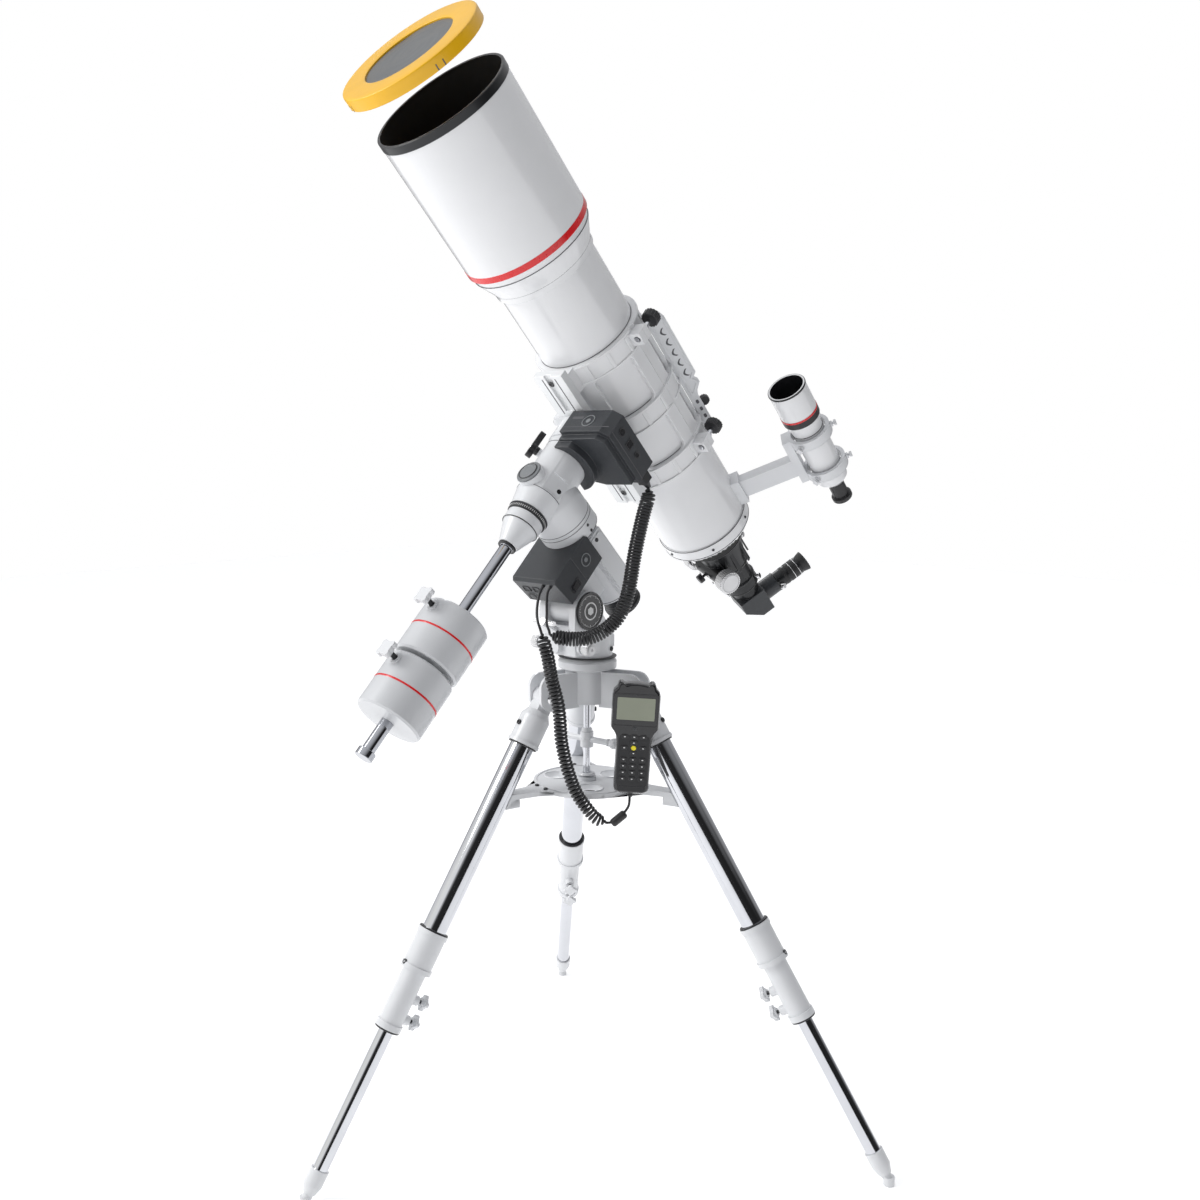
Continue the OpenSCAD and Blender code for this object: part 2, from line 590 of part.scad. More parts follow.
tripod_hub();
hub_hardware();
leg_top(2);  // leg_north_top
leg_top(0);  // leg_east_top
leg_top(1);  // leg_west_top
leg_tube(2);  // leg_north_tube
leg_tube(0);  // leg_east_tube
leg_tube(1);  // leg_west_tube
leg_collar(2);  // leg_north_collar
leg_collar(0);  // leg_east_collar
leg_collar(1);  // leg_west_collar
leg_lower(2);  // leg_north_lower
leg_lower(0);  // leg_east_lower
leg_lower(1);  // leg_west_lower
leg_foot(2);  // leg_north_foot
leg_foot(0);  // leg_east_foot
leg_foot(1);  // leg_west_foot
centre_rod();
spreader_plate();
spreader_nut();
azimuth_base();
azimuth_knob(-1);  // azimuth_knob_west
azimuth_knob(1);  // azimuth_knob_east
latitude_screw();
ra_housing();
polar_scope();
ra_motor_box();
dec_housing();
polar_cap();
dec_circle();
dec_motor_box();
dec_clutch();
saddle();
dovetail_bar();
cw_nose();
cw_shaft();
weight(weight_upper_at);  // weight_upper
weight(weight_lower_at);  // weight_lower
weight_knob(weight_upper_at);  // weight_knob_upper
weight_knob(weight_lower_at);  // weight_knob_lower
main_tube();
dew_shield();
objective();
cradle_lower();
cradle_upper();
ring_knob(ring_at[0]);  // ring_knob_front
ring_knob(ring_at[2]);  // ring_knob_rear
handle_plate();
focuser_body();
drawtube();
focus_knobs();
diagonal();
eyepiece();
finder_bracket();
finder();
sun_filter();
handset();
dec_plug();
dec_cord();
hand_cord();
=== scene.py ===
"""Looks of the refractor telescope: materials, fine pieces, cords, light and camera.

Mesh lengths are in millimetres, and solid() scales them to metres."""
import json
import math

import bmesh
import bpy
from mathutils import Matrix, Vector


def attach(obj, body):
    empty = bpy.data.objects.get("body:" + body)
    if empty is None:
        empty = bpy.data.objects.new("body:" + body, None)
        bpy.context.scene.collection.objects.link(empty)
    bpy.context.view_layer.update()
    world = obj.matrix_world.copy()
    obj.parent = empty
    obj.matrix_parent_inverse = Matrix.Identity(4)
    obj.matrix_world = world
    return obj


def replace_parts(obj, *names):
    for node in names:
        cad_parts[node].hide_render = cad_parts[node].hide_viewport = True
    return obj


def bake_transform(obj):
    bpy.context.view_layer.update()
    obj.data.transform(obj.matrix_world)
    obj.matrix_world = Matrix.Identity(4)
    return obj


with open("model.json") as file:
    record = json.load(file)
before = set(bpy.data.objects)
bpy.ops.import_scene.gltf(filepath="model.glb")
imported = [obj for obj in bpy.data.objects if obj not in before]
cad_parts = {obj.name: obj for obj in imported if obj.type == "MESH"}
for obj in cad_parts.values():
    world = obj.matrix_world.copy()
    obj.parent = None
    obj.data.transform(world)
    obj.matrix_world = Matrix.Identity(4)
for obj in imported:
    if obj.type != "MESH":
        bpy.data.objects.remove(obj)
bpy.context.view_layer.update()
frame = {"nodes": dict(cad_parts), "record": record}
JOINTS = {j["name"]: j for j in frame["record"]["behaviour"]["joints"]}
MM = 0.001


# ---------- frames ----------
def axes(origin, x, y, z):
    m = Matrix((x, y, z)).transposed().to_4x4()
    m.translation = Vector(origin)
    return m


def cosd(degrees):
    return math.cos(math.radians(degrees))


def sind(degrees):
    return math.sin(math.radians(degrees))


def turn(axis, degrees):
    return Matrix.Rotation(math.radians(degrees), 4, axis)


def shift(x, y, z):
    return Matrix.Translation((x * MM, y * MM, z * MM))


ra, dec = (Vector(JOINTS[n]["axis"]).normalized() for n in ("right_ascension_turn", "declination_turn"))
HEAD = axes(JOINTS["right_ascension_turn"]["pos_m"], dec.cross(ra), dec, ra)
TUBE = HEAD @ shift(0, 246, 0)
LATITUDE = Matrix.Translation(JOINTS["latitude_tilt"]["pos_m"])
HANDSET = Matrix.Translation((0.123, -0.023, 0.683)) @ turn("Z", 42.7) @ turn("Y", 3)
LEGS = {}
for side in ("north", "east", "west"):
    down = Vector(JOINTS[f"leg_{side}_extend"]["axis"]).normalized()
    across = Vector(JOINTS[f"leg_{side}_fold"]["axis"]).normalized()
    LEGS[side] = axes(JOINTS[f"leg_{side}_fold"]["pos_m"], across.cross(-down), across, -down)


def round_tube(phi):
    """The tube's frame, with its y turned to the direction phi from the top towards east."""
    return TUBE @ turn("Z", -phi)


# ---------- materials ----------
def finish(name, colour, rough, metal=0.0, coat=0.0, grain=900, depth=0.1, vary=0.05, rough_vary=0.06,
           edge=None, sheen=0.0):
    """Base colour, roughness and a fine bump, each varied. edge is the lighter colour of sharp edges: partly
    edge wear, partly painted highlight.
    """
    m = bpy.data.materials.new(name)
    m.use_nodes = True
    t = m.node_tree
    n, link = t.nodes, t.links.new
    p = n["Principled BSDF"]
    p.inputs["Metallic"].default_value = metal
    p.inputs["Coat Weight"].default_value = coat
    p.inputs["Coat Roughness"].default_value = 0.12
    p.inputs["Sheen Weight"].default_value = sheen
    where = n.new("ShaderNodeTexCoord")
    at = where.outputs["Object"]

    def noise(scale, detail):
        x = n.new("ShaderNodeTexNoise")
        x.inputs["Scale"].default_value = scale
        x.inputs["Detail"].default_value = detail
        link(at, x.inputs["Vector"])
        return x.outputs["Fac"]

    ramp = n.new("ShaderNodeValToRGB")
    ramp.color_ramp.elements[0].position = 0.3
    ramp.color_ramp.elements[1].position = 0.7
    ramp.color_ramp.elements[0].color = [c * (1 - vary) for c in colour] + [1]
    ramp.color_ramp.elements[1].color = [min(1, c * (1 + vary)) for c in colour] + [1]
    link(noise(14, 4), ramp.inputs["Fac"])
    base = ramp.outputs["Color"]
    if edge:
        # sharp edges take the edge colour: edge wear and painted highlight together
        geometry = n.new("ShaderNodeNewGeometry")
        rim = n.new("ShaderNodeBevel")
        rim.samples = 4
        rim.inputs["Radius"].default_value = 0.0012
        facing = n.new("ShaderNodeVectorMath")
        facing.operation = "DOT_PRODUCT"
        link(rim.outputs["Normal"], facing.inputs[0])
        link(geometry.outputs["Normal"], facing.inputs[1])
        sharp = n.new("ShaderNodeMapRange")
        sharp.inputs["From Min"].default_value = 0.995
        sharp.inputs["From Max"].default_value = 0.85
        link(facing.outputs["Value"], sharp.inputs["Value"])
        mix = n.new("ShaderNodeMix")
        mix.data_type = "RGBA"
        link(sharp.outputs["Result"], mix.inputs["Factor"])
        link(base, mix.inputs["A"])
        mix.inputs["B"].default_value = list(edge) + [1]
        base = mix.outputs["Result"]
    link(base, p.inputs["Base Color"])
    span = n.new("ShaderNodeMapRange")
    span.inputs["To Min"].default_value = max(0.02, rough - rough_vary)
    span.inputs["To Max"].default_value = rough + rough_vary
    link(noise(60, 3), span.inputs["Value"])
    link(span.outputs["Result"], p.inputs["Roughness"])
    bump = n.new("ShaderNodeBump")
    bump.inputs["Strength"].default_value = depth
    bump.inputs["Distance"].default_value = 0.0004
    link(noise(grain, 2), bump.inputs["Height"])
    if edge:
        link(rim.outputs["Normal"], bump.inputs["Normal"])
    link(bump.outputs["Normal"], p.inputs["Normal"])
    return m


ENAMEL = finish("white_enamel", (0.71, 0.72, 0.74), 0.34, coat=0.25, grain=1500, depth=0.08, vary=0.02)
TUBE_WHITE = finish("tube_white", (0.80, 0.805, 0.82), 0.18, coat=0.7, grain=260, depth=0.025, vary=0.012)
CHROME = finish("mirror_steel", (0.62, 0.63, 0.66), 0.07, metal=1, grain=600, depth=0.03, vary=0.04,
                rough_vary=0.03)
SHAFT = finish("shaft_steel", (0.44, 0.45, 0.48), 0.09, metal=1, grain=600, depth=0.03, vary=0.04,
               rough_vary=0.03)
SILVER = finish("bright_screws", (0.74, 0.74, 0.75), 0.2, metal=1, grain=1200, depth=0.05, vary=0.05)
SATIN = finish("satin_silver", (0.66, 0.66, 0.67), 0.38, metal=0.55, coat=0.1, grain=1400, depth=0.1,
               vary=0.04)
BAR = finish("bar_aluminium", (0.80, 0.81, 0.82), 0.34, metal=0.25, coat=0.1, grain=1400, depth=0.1,
             vary=0.03)
WEIGHT = finish("grey_steel", (0.60, 0.61, 0.63), 0.36, coat=0.3, grain=700, depth=0.16, vary=0.03)
GRAPHITE = finish("motor_grey", (0.030, 0.033, 0.038), 0.36, grain=2600, depth=0.35, vary=0.10,
                  edge=(0.12, 0.125, 0.13))
BLACK = finish("black_plastic", (0.012, 0.012, 0.014), 0.38, grain=1800, depth=0.2, vary=0.15,
               edge=(0.06, 0.06, 0.065))
GLOSS_BLACK = finish("gloss_black", (0.008, 0.008, 0.010), 0.14, coat=0.4, grain=500, depth=0.03, vary=0.1)
ANODISED = finish("black_anodised", (0.020, 0.021, 0.023), 0.30, metal=0.4, coat=0.1, grain=1500, depth=0.08,
                  vary=0.1,
                  edge=(0.16, 0.16, 0.17))
MATT_BLACK = finish("flock_black", (0.006, 0.006, 0.006), 0.9, grain=2400, depth=0.5, vary=0.2)
RUBBER = finish("cord_rubber", (0.016, 0.016, 0.018), 0.40, grain=2400, depth=0.1, vary=0.15, sheen=0.1)
CUP = finish("cup_rubber", (0.018, 0.018, 0.019), 0.55, grain=1600, depth=0.25, vary=0.1)
CAP = finish("cap_grey", (0.20, 0.21, 0.22), 0.36, grain=1500, depth=0.15, vary=0.05)
RED = finish("red_line", (0.70, 0.006, 0.010), 0.28, coat=0.4, grain=900, depth=0.05, vary=0.05)
YELLOW = finish("filter_yellow", (0.86, 0.47, 0.004), 0.34, coat=0.15, grain=1200, depth=0.15, vary=0.05)
FILM = finish("filter_film", (0.17, 0.175, 0.18), 0.38, metal=0.6, grain=90, depth=0.5, vary=0.06)
WHITE_MARK = finish("white_mark", (0.80, 0.80, 0.80), 0.45, grain=1500, depth=0.1)
SCREEN = finish("screen", (0.25, 0.27, 0.20), 0.22, coat=0.5, grain=3000, depth=0.03, vary=0.05)
BUTTON = finish("yellow_button", (0.85, 0.72, 0.02), 0.4, grain=1500, depth=0.1)
# dark line colour: real seams, and also painted shade in grooves and slots and the painted shadow lines at the
# cradle rings' edges
SEAM_AND_SHADE = finish("seam_and_shade", (0.10, 0.10, 0.11), 0.6, grain=1200, depth=0.1)


def glass(name, colour, rough):
    m = finish(name, colour, rough, coat=0.6, grain=300, depth=0.01, vary=0.1)
    m.node_tree.nodes["Principled BSDF"].inputs["Transmission Weight"].default_value = 0.35
    m.node_tree.nodes["Principled BSDF"].inputs["IOR"].default_value = 1.52
    return m


LENS = glass("lens_glass", (0.035, 0.06, 0.05), 0.04)


# ---------- mesh tools ----------
def soften(o, width, angle=32, segments=3):
    if width:
        b = o.modifiers.new("edges", "BEVEL")
        b.width = width * MM
        b.segments = segments
        b.limit_method = "ANGLE"
        b.angle_limit = math.radians(angle)
        b.use_clamp_overlap = True
        b.miter_outer = "MITER_ARC"
    w = o.modifiers.new("normals", "WEIGHTED_NORMAL")
    w.weight = 80
    w.keep_sharp = False


def solid(name, bm, material, place, body, bevel=0.4, segments=3):
    """Turns a bmesh in millimetres into a piece that rides on a body."""
    bmesh.ops.remove_doubles(bm, verts=bm.verts, dist=1e-4)
    bmesh.ops.recalc_face_normals(bm, faces=bm.faces)
    mesh = bpy.data.meshes.new(name)
    bmesh.ops.scale(bm, vec=(MM, MM, MM), verts=bm.verts)
    bm.to_mesh(mesh)
    bm.free()
    for f in mesh.polygons:
        f.use_smooth = True
    o = bpy.data.objects.new(name, mesh)
    bpy.context.collection.objects.link(o)
    o.data.materials.append(material)
    o.matrix_world = place
    soften(o, bevel, segments=segments)
    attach(o, body)
    return o


def lathe(bm, profile, n=96, arc=360.0, start=0.0, closed=True, at=Matrix.Identity(4)):
    """Revolves (radius, height) points about z; closed joins the last point to the first."""
    whole = arc >= 359.9
    steps = n if whole else n + 1
    rings = []
    for i in range(steps):
        a = math.radians(start + arc * i / n)
        rings.append([bm.verts.new(at @ Vector((r * math.cos(a), r * math.sin(a), z))) for r, z in profile])
    for i in range(n):
        p, q = rings[i], rings[(i + 1) % steps]
        for k in range(len(profile) if closed else len(profile) - 1):
            j = (k + 1) % len(profile)
            bm.faces.new((p[k], q[k], q[j], p[j]))
    if not whole and closed:
        bm.faces.new(list(reversed(rings[0])))
        bm.faces.new(rings[-1])
    return bm


def disc(bm, r, z0, z1, n=64, at=Matrix.Identity(4), top=None):
    """A plain round plate; top is its upper radius."""
    a = [bm.verts.new(at @ Vector((r * math.cos(6.28318531 * i / n), r * math.sin(6.28318531 * i / n),
                                   z0))) for i in range(n)]
    t = r if top is None else top
    b = [bm.verts.new(at @ Vector((t * math.cos(6.28318531 * i / n), t * math.sin(6.28318531 * i / n),
                                   z1))) for i in range(n)]
    for i in range(n):
        bm.faces.new((a[i], a[(i + 1) % n], b[(i + 1) % n], b[i]))
    bm.faces.new(list(reversed(a)))
    bm.faces.new(b)
    return bm


def prism(bm, outline, z0, z1, at=Matrix.Identity(4)):
    a = [bm.verts.new(at @ Vector((x, y, z0))) for x, y in outline]
    b = [bm.verts.new(at @ Vector((x, y, z1))) for x, y in outline]
    k = len(outline)
    for i in range(k):
        bm.faces.new((a[i], a[(i + 1) % k], b[(i + 1) % k], b[i]))
    bm.faces.new(list(reversed(a)))
    bm.faces.new(b)
    return bm


def rounded(w, h, r, n=6, cx=0.0, cy=0.0):
    """Outline of a rectangle with round corners."""
    pts = []
    for qx, qy, a0 in ((1, 1, 0), (-1, 1, 90), (-1, -1, 180), (1, -1, 270)):
        for i in range(n + 1):
            a = math.radians(a0 + 90 * i / n)
            pts.append((cx + qx * (w / 2 - r) + r * math.cos(a), cy + qy * (h / 2 - r) + r * math.sin(a)))
    return pts


def tooth_ring(bm, r, depth, z0, z1, teeth, at=Matrix.Identity(4), hole=None):
    """A fluted or knurled round knob."""
    outline = []
    for i in range(teeth):
        for k, rr in enumerate((r, r, r - depth, r - depth)):
            a = math.radians(360 * (i + (0.0, 0.45, 0.6, 0.85)[k]) / teeth)
            outline.append((rr * math.cos(a), rr * math.sin(a)))
    return prism(bm, outline, z0, z1, at)


def sweep(points, radius, sides=8):
    """A round tube along points, as a bmesh in millimetres, with no twist."""
    bm = bmesh.new()
    pts = [Vector(p) for p in points]
    t = [(pts[min(i + 1, len(pts) - 1)] - pts[max(i - 1, 0)]).normalized() for i in range(len(pts))]
    side = t[0].orthogonal().normalized()
    rings = []
    for i, p in enumerate(pts):
        side = (side - t[i] * side.dot(t[i])).normalized()
        up = t[i].cross(side)
        r = radius[i] if isinstance(radius, list) else radius
        rings.append([bm.verts.new(p + r * (math.cos(6.28318531 * k / sides) * side
                                       + math.sin(6.28318531 * k / sides) * up))
                      for k in range(sides)])
    for p, q in zip(rings, rings[1:]):
        for k in range(sides):
            bm.faces.new((p[k], p[(k + 1) % sides], q[(k + 1) % sides], q[k]))
    bm.faces.new(list(reversed(rings[0])))
    bm.faces.new(rings[-1])
    return bm


def smooth_path(points, step):
    """Catmull-Rom curve through points, resampled about every step."""
    p = [Vector(q) for q in points]
    p = [2 * p[0] - p[1]] + p + [2 * p[-1] - p[-2]]
    dense = []
    for i in range(1, len(p) - 2):
        for k in range(24):
            u = k / 24
            dense.append(0.5 * (2 * p[i] + (p[i + 1] - p[i - 1]) * u
                                + (2 * p[i - 1] - 5 * p[i] + 4 * p[i + 1] - p[i + 2]) * u * u
                                + (3 * p[i] - p[i - 1] - 3 * p[i + 1] + p[i + 2]) * u ** 3))
    dense.append(p[-2])
    total = [0.0]
    for a, b in zip(dense, dense[1:]):
        total.append(total[-1] + (b - a).length)
    n = max(2, round(total[-1] / step))
    out, k = [], 0
    for i in range(n + 1):
        s = total[-1] * i / n
        while k < len(total) - 2 and total[k + 1] < s:
            k += 1
        f = (s - total[k]) / max(1e-9, total[k + 1] - total[k])
        out.append(dense[k].lerp(dense[k + 1], min(1, f)))
    return out


def helix(axis, radius, pitch, lead):
    """A coil of that radius wound round the axis path, with lead in and out onto the axis."""
    t = [(axis[min(i + 1, len(axis) - 1)] - axis[max(i - 1, 0)]).normalized() for i in range(len(axis))]
    side = t[0].orthogonal().normalized()
    out, run, length = [], 0.0, sum((b - a).length for a, b in zip(axis, axis[1:]))
    for i, p in enumerate(axis):
        side = (side - t[i] * side.dot(t[i])).normalized()
        if i:
            run += (axis[i] - axis[i - 1]).length
        grow = min(1.0, run / lead, (length - run) / lead)
        grow = grow * grow * (3 - 2 * grow)
        a = 2 * math.pi * run / pitch
        out.append(p + radius * max(0.0, grow) * (math.cos(a) * side + math.sin(a) * t[i].cross(side)))
    return out


# ---------- camera ----------
camera = bpy.data.objects.new("camera", bpy.data.cameras.new("camera"))
bpy.context.collection.objects.link(camera)
bpy.context.scene.camera = camera
camera.data.sensor_width = 36
camera.data.lens = 36.585
camera.data.shift_x = 0.0525
camera.location = (1.3618, -1.4757, 1.1546)
camera.rotation_euler = Vector((-0.7023, 0.6998, -0.1305)).to_track_quat("-Z", "Y").to_euler()

# ---------- cords ----------
# curly cord from the polar motor box to the declination box
DEC_TAIL = [(34, -121, 927), (34, -129, 918), (36, -133, 903), (37, -134, 885), (36, -133, 868),
            (37, -127, 854)]
DEC_COIL = [(37, -127, 851), (56, -116, 846), (72, -99, 845), (85, -81, 848), (98, -62, 860), (106, -42, 879),
            (110, -29, 906),
            (109, -19, 932), (106, -8, 965), (104, 4, 998), (103, 16, 1030), (103, 25, 1052), (104, 28, 1062),
            (104, 28, 1079)]
HAND_TAIL = [(18, -122, 926), (19, -131, 917), (21, -138, 902), (25, -144, 887), (34, -151, 875),
             (42, -151, 857)]
HAND_COIL = [(42, -151, 857), (46, -149, 841), (47, -142, 819), (46, -136, 798), (45, -130, 778),
             (46, -124, 759), (48, -119, 738),
             (49, -116, 712), (49, -113, 681), (52, -107, 648), (57, -100, 618), (64, -91, 590),
             (73, -80, 569), (84, -69, 551), (96, -56, 543)]
HAND_LEAD = [(96, -56, 543), (102, -49, 544), (109, -42, 550), (115, -35, 560), (119, -29, 571),
             (119, -27, 585)]
CORD_R = 2.15


def cord_piece(name, points):
    o = solid_between(name, sweep(points, CORD_R, 8), RUBBER)
    return o


def solid_between(name, bm, material):
    """A piece in the row frame, from the first point to the last; it is attached to no body."""
    bmesh.ops.recalc_face_normals(bm, faces=bm.faces)
    bmesh.ops.scale(bm, vec=(MM, MM, MM), verts=bm.verts)
    mesh = bpy.data.meshes.new(name)
    bm.to_mesh(mesh)
    bm.free()
    for f in mesh.polygons:
        f.use_smooth = True
    o = bpy.data.objects.new(name, mesh)
    bpy.context.collection.objects.link(o)
    o.data.materials.append(material)
    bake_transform(o)
    return o


dec_coil = helix(smooth_path(DEC_COIL, 0.28), 9.8, 5.1, 14)
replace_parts(cord_piece("curly_cord", smooth_path(DEC_TAIL, 4)[:-1] + dec_coil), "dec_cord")
# the handset's cord in three lengths, because it passes the polar axis motor, the mount and the tripod
hand_coil = helix(smooth_path(HAND_COIL, 0.4), 8.8, 6.4, 14)
hand_lead = smooth_path(HAND_LEAD, 4)
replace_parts(cord_piece("handset_cord_tail", smooth_path(HAND_TAIL, 4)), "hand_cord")
cord_piece("handset_cord_coil", hand_coil)
bm = bmesh.new()
lathe(bm, [(2.2, -14), (5, -14), (6.6, -12), (7, -9), (7, 9), (6.6, 12), (5, 14), (2.2, 14)], 32,
      at=Matrix.Translation((109, -42, 550)) @ turn("Z", 47) @ turn("Y", 50))
bead = solid_between("handset_cord_bead", bm, RUBBER)
cord_piece("handset_cord_lead", hand_lead)
# ribbed boots where the leads leave the polar motor box
bm = bmesh.new()
for x, y, z in (DEC_TAIL[0], HAND_TAIL[0]):
    for k in range(4):
        r = 5 - 0.7 * k
        lathe(bm, [(2.2, 3 * k), (r, 3 * k), (r, 3 * k + 2), (2.2, 3 * k + 2.6)], 24,
              at=Matrix.Translation((x, y + 6, z + 5)) @ turn("X", 130))
solid("cord_boots", bm, RUBBER, Matrix.Identity(4), "polar_axis", 0.2)


# ---------- CAD nodes: finishes, edges and normals ----------
LOOKS = (
    (ENAMEL, "tripod_hub spreader_plate azimuth_base ra_housing dec_housing saddle cw_nose"
             " handle_plate finder_bracket"
             " weight_knob_upper weight_knob_lower leg_{}_top leg_{}_collar leg_{}_foot"),
    (TUBE_WHITE, "main_tube dew_shield cradle_lower cradle_upper finder"),
    (CHROME, "leg_{}_tube leg_{}_lower"), (SHAFT, "cw_shaft"),
    (SILVER, "hub_hardware latitude_screw focus_knobs"),
    (SATIN, "azimuth_knob_west azimuth_knob_east"), (CHROME, "centre_rod"),
    (GRAPHITE, "ra_motor_box dec_motor_box diagonal"),
    (BLACK, "spreader_nut polar_scope dec_circle dec_clutch ring_knob_front ring_knob_rear dec_plug handset"),
    (ANODISED, "focuser_body drawtube eyepiece"),
    (BAR, "dovetail_bar"), (WEIGHT, "weight_upper weight_lower"), (CAP, "polar_cap"), (LENS, "objective"),
    (YELLOW, "sun_filter"), (RUBBER, "dec_cord hand_cord"))
for material, names in LOOKS:
    for pattern in names.split():
        for side in ("north", "east", "west") if "{}" in pattern else ("",):
            node = frame["nodes"][pattern.format(side)]
            node.data.materials.clear()
            node.data.materials.append(material)
            for f in node.data.polygons:
                f.use_smooth = True
            weld = node.modifiers.new("weld", "WELD")
            weld.merge_threshold = 1e-5
            flat = node.modifiers.new("dissolve", "DECIMATE")
            flat.decimate_type = "DISSOLVE"
            flat.angle_limit = math.radians(0.6)
            flat.delimit = {"MATERIAL"}
            soften(node, 0.9)


def paint(name, material, place, test):
    """Gives the faces of a CAD node that pass the test another material.

    The test is given a face's centre and normal in the frame place, in millimetres."""
    node = frame["nodes"][name]
    node.data.materials.append(material)
    inverse = place.inverted()
    for f in node.data.polygons:
        if test(inverse @ f.center / MM, inverse.to_3x3() @ f.normal):
            f.material_index = len(node.data.materials) - 1


def across(c):
    return math.hypot(c.x, c.y)


paint("dew_shield", MATT_BLACK, TUBE,
      lambda c, n: c.z > 285 and across(c) < 102.2 and n.x * c.x + n.y * c.y < 1)
paint("hub_hardware", BLACK, HANDSET, lambda c, n: abs(c.x) < 30 and 9 < c.y < 50)
paint("sun_filter", FILM, TUBE, lambda c, n: across(c) < 77 and (c.z < 614.8))
paint("main_tube", MATT_BLACK, TUBE, lambda c, n: across(c) < 80.5)
paint("finder", BLACK, round_tube(57) @ shift(0, 242, 0), lambda c,
      n: (c.z < -352 and across(c) < 21) or (across(c) < 29.5 and c.z > -197.5))
paint("diagonal", ANODISED, TUBE, lambda c, n: c.z > -535 and across(c) < 26)
paint("centre_rod", ENAMEL, Matrix.Identity(4), lambda c,
      n: 640 < c.z < 670 and (across(c) > 6.5 or abs(n.z) > 0.9))
for at, name in ((304, "weight_knob_upper"), (403, "weight_knob_lower")):
    paint(name, ANODISED, HEAD @ shift(0, 30 - at, 0), lambda c, n: c.z < 59 and across(c) < 5)
for name in ("ring_knob_front", "ring_knob_rear"):
    paint(name, CHROME, round_tube(86) @ shift(0, 102, 0), lambda c, n: c.x > -33)
for side, place in LEGS.items():
    paint(f"leg_{side}_collar", ANODISED, place, lambda c, n: -35.8 < c.x < -29.2)


# ---------- tripod ----------
def cap_screw(bm, r, h, at, socket=0.5):
    """A socket-head screw standing on z = 0, with a hexagonal hole."""
    lathe(bm, [(r * socket, 0), (r, 0), (r, h - 0.6), (r - 0.6, h), (r * socket, h),
               (r * socket * 0.96, h * 0.3)], 24, at=at)
    disc(bm, r * socket, 0, h * 0.3, 6, at)


def at_mm(x=0, y=0, z=0):
    return Matrix.Translation((x, y, z))


for side, place in LEGS.items():
    bm = bmesh.new()
    for s in (-1, 1):
        lathe(bm, [(0.01, 24.2), (5, 24.2), (7.5, 23.2), (9.5, 21), (9.5, 19.6), (0.01, 19.6)], 32,
              at=turn("X", -90 * s) , closed=False)
        cap_screw(bm, 4.5, 2.2, turn("X", -90 * s) @ at_mm(0, 0, 22.4))
    solid(f"pivot_caps_{side}", bm, SILVER, place, "tripod", 0.3)
    bm = bmesh.new()
    lathe(bm, [(20.2, -88.4), (24.2, -88.4), (24.2, -86.4), (20.2, -86.4)], 64)
    lathe(bm, [(20.2, -410.8), (24.4, -410.8), (24.4, -408.6), (20.2, -408.6)], 64)
    solid(f"leg_gaskets_{side}", bm, BLACK, place, f"leg_{side}", 0.5)
    bm = bmesh.new()
    for z in (-56, -470):
        cap_screw(bm, 4.2, 3, at_mm(25.2 if z > -100 else 23.6, 0, z) @ turn("Y", 90))
    cap_screw(bm, 4.2, 3, at_mm(0, -25.2, -66) @ turn("X", 90))
    solid(f"leg_screws_{side}", bm, ANODISED, place, f"leg_{side}", 0.25)
    bm = bmesh.new()
    lathe(bm, [(12.6, -576), (20, -576), (20.8, -574.6), (20.8, -573.2), (12.6, -573.2)], 48)
    solid(f"leg_wiper_{side}", bm, BLACK, place, f"leg_{side}", 0.4)

bm = bmesh.new()
for a in (78.3, 198.3, 318.3):
    place = turn("Z", a) @ at_mm(55, 0, 0)
    lathe(bm, [(20.3, 584.8), (23.2, 584.8), (22.6, 586.6), (20.9, 586.6)], 48, at=place)
    lathe(bm, [(20.3, 577.2), (23.2, 577.2), (22.6, 575.6), (20.9, 575.6)], 48, at=place)
lathe(bm, [(84, 584.9), (88.8, 584.9), (88.2, 586.2), (84.6, 586.2)], 96)
lathe(bm, [(7, 594), (14.5, 594), (12.5, 597.5), (7, 597.5)], 48)
solid("spreader_rims", bm, ENAMEL, Matrix.Identity(4), "spreader", 0.4)
bm = bmesh.new()
for k in range(3):
    for s in (-1, 1):
        cap_screw(bm, 3.6, 2.6, turn("Z", 18.3 + 120 * k) @ at_mm(92, s * 13, 585))
solid("spreader_screws", bm, ANODISED, Matrix.Identity(4), "spreader", 0.2)
bm = bmesh.new()
lathe(bm, [(6.1, 668.2), (9, 668.2), (9, 672), (7.5, 674.5), (6.1, 674.5)], 40)
lathe(bm, [(11.1, 653), (11.8, 653.6), (11.8, 656.4), (11.1, 657)], 40)
for s in (-1, 1):
    lathe(bm, [(5.1, 42.5), (6.4, 42.9), (6.4, 45.5), (5.1, 46)], 32,
          at=turn("Z", 6) @ at_mm(0, 0, 655) @ turn("Y", 90 * s))
solid("handle_collars", bm, ENAMEL, Matrix.Identity(4), "centre_rod", 0.2)
bm = bmesh.new()
lathe(bm, [(47, 798.1), (48.6, 797), (48.9, 798.4), (44, 799.2), (42.2, 799.2), (42.2, 798.1)], 96)
solid("azimuth_gasket", bm, BLACK, Matrix.Identity(4), "tripod", 0.2)

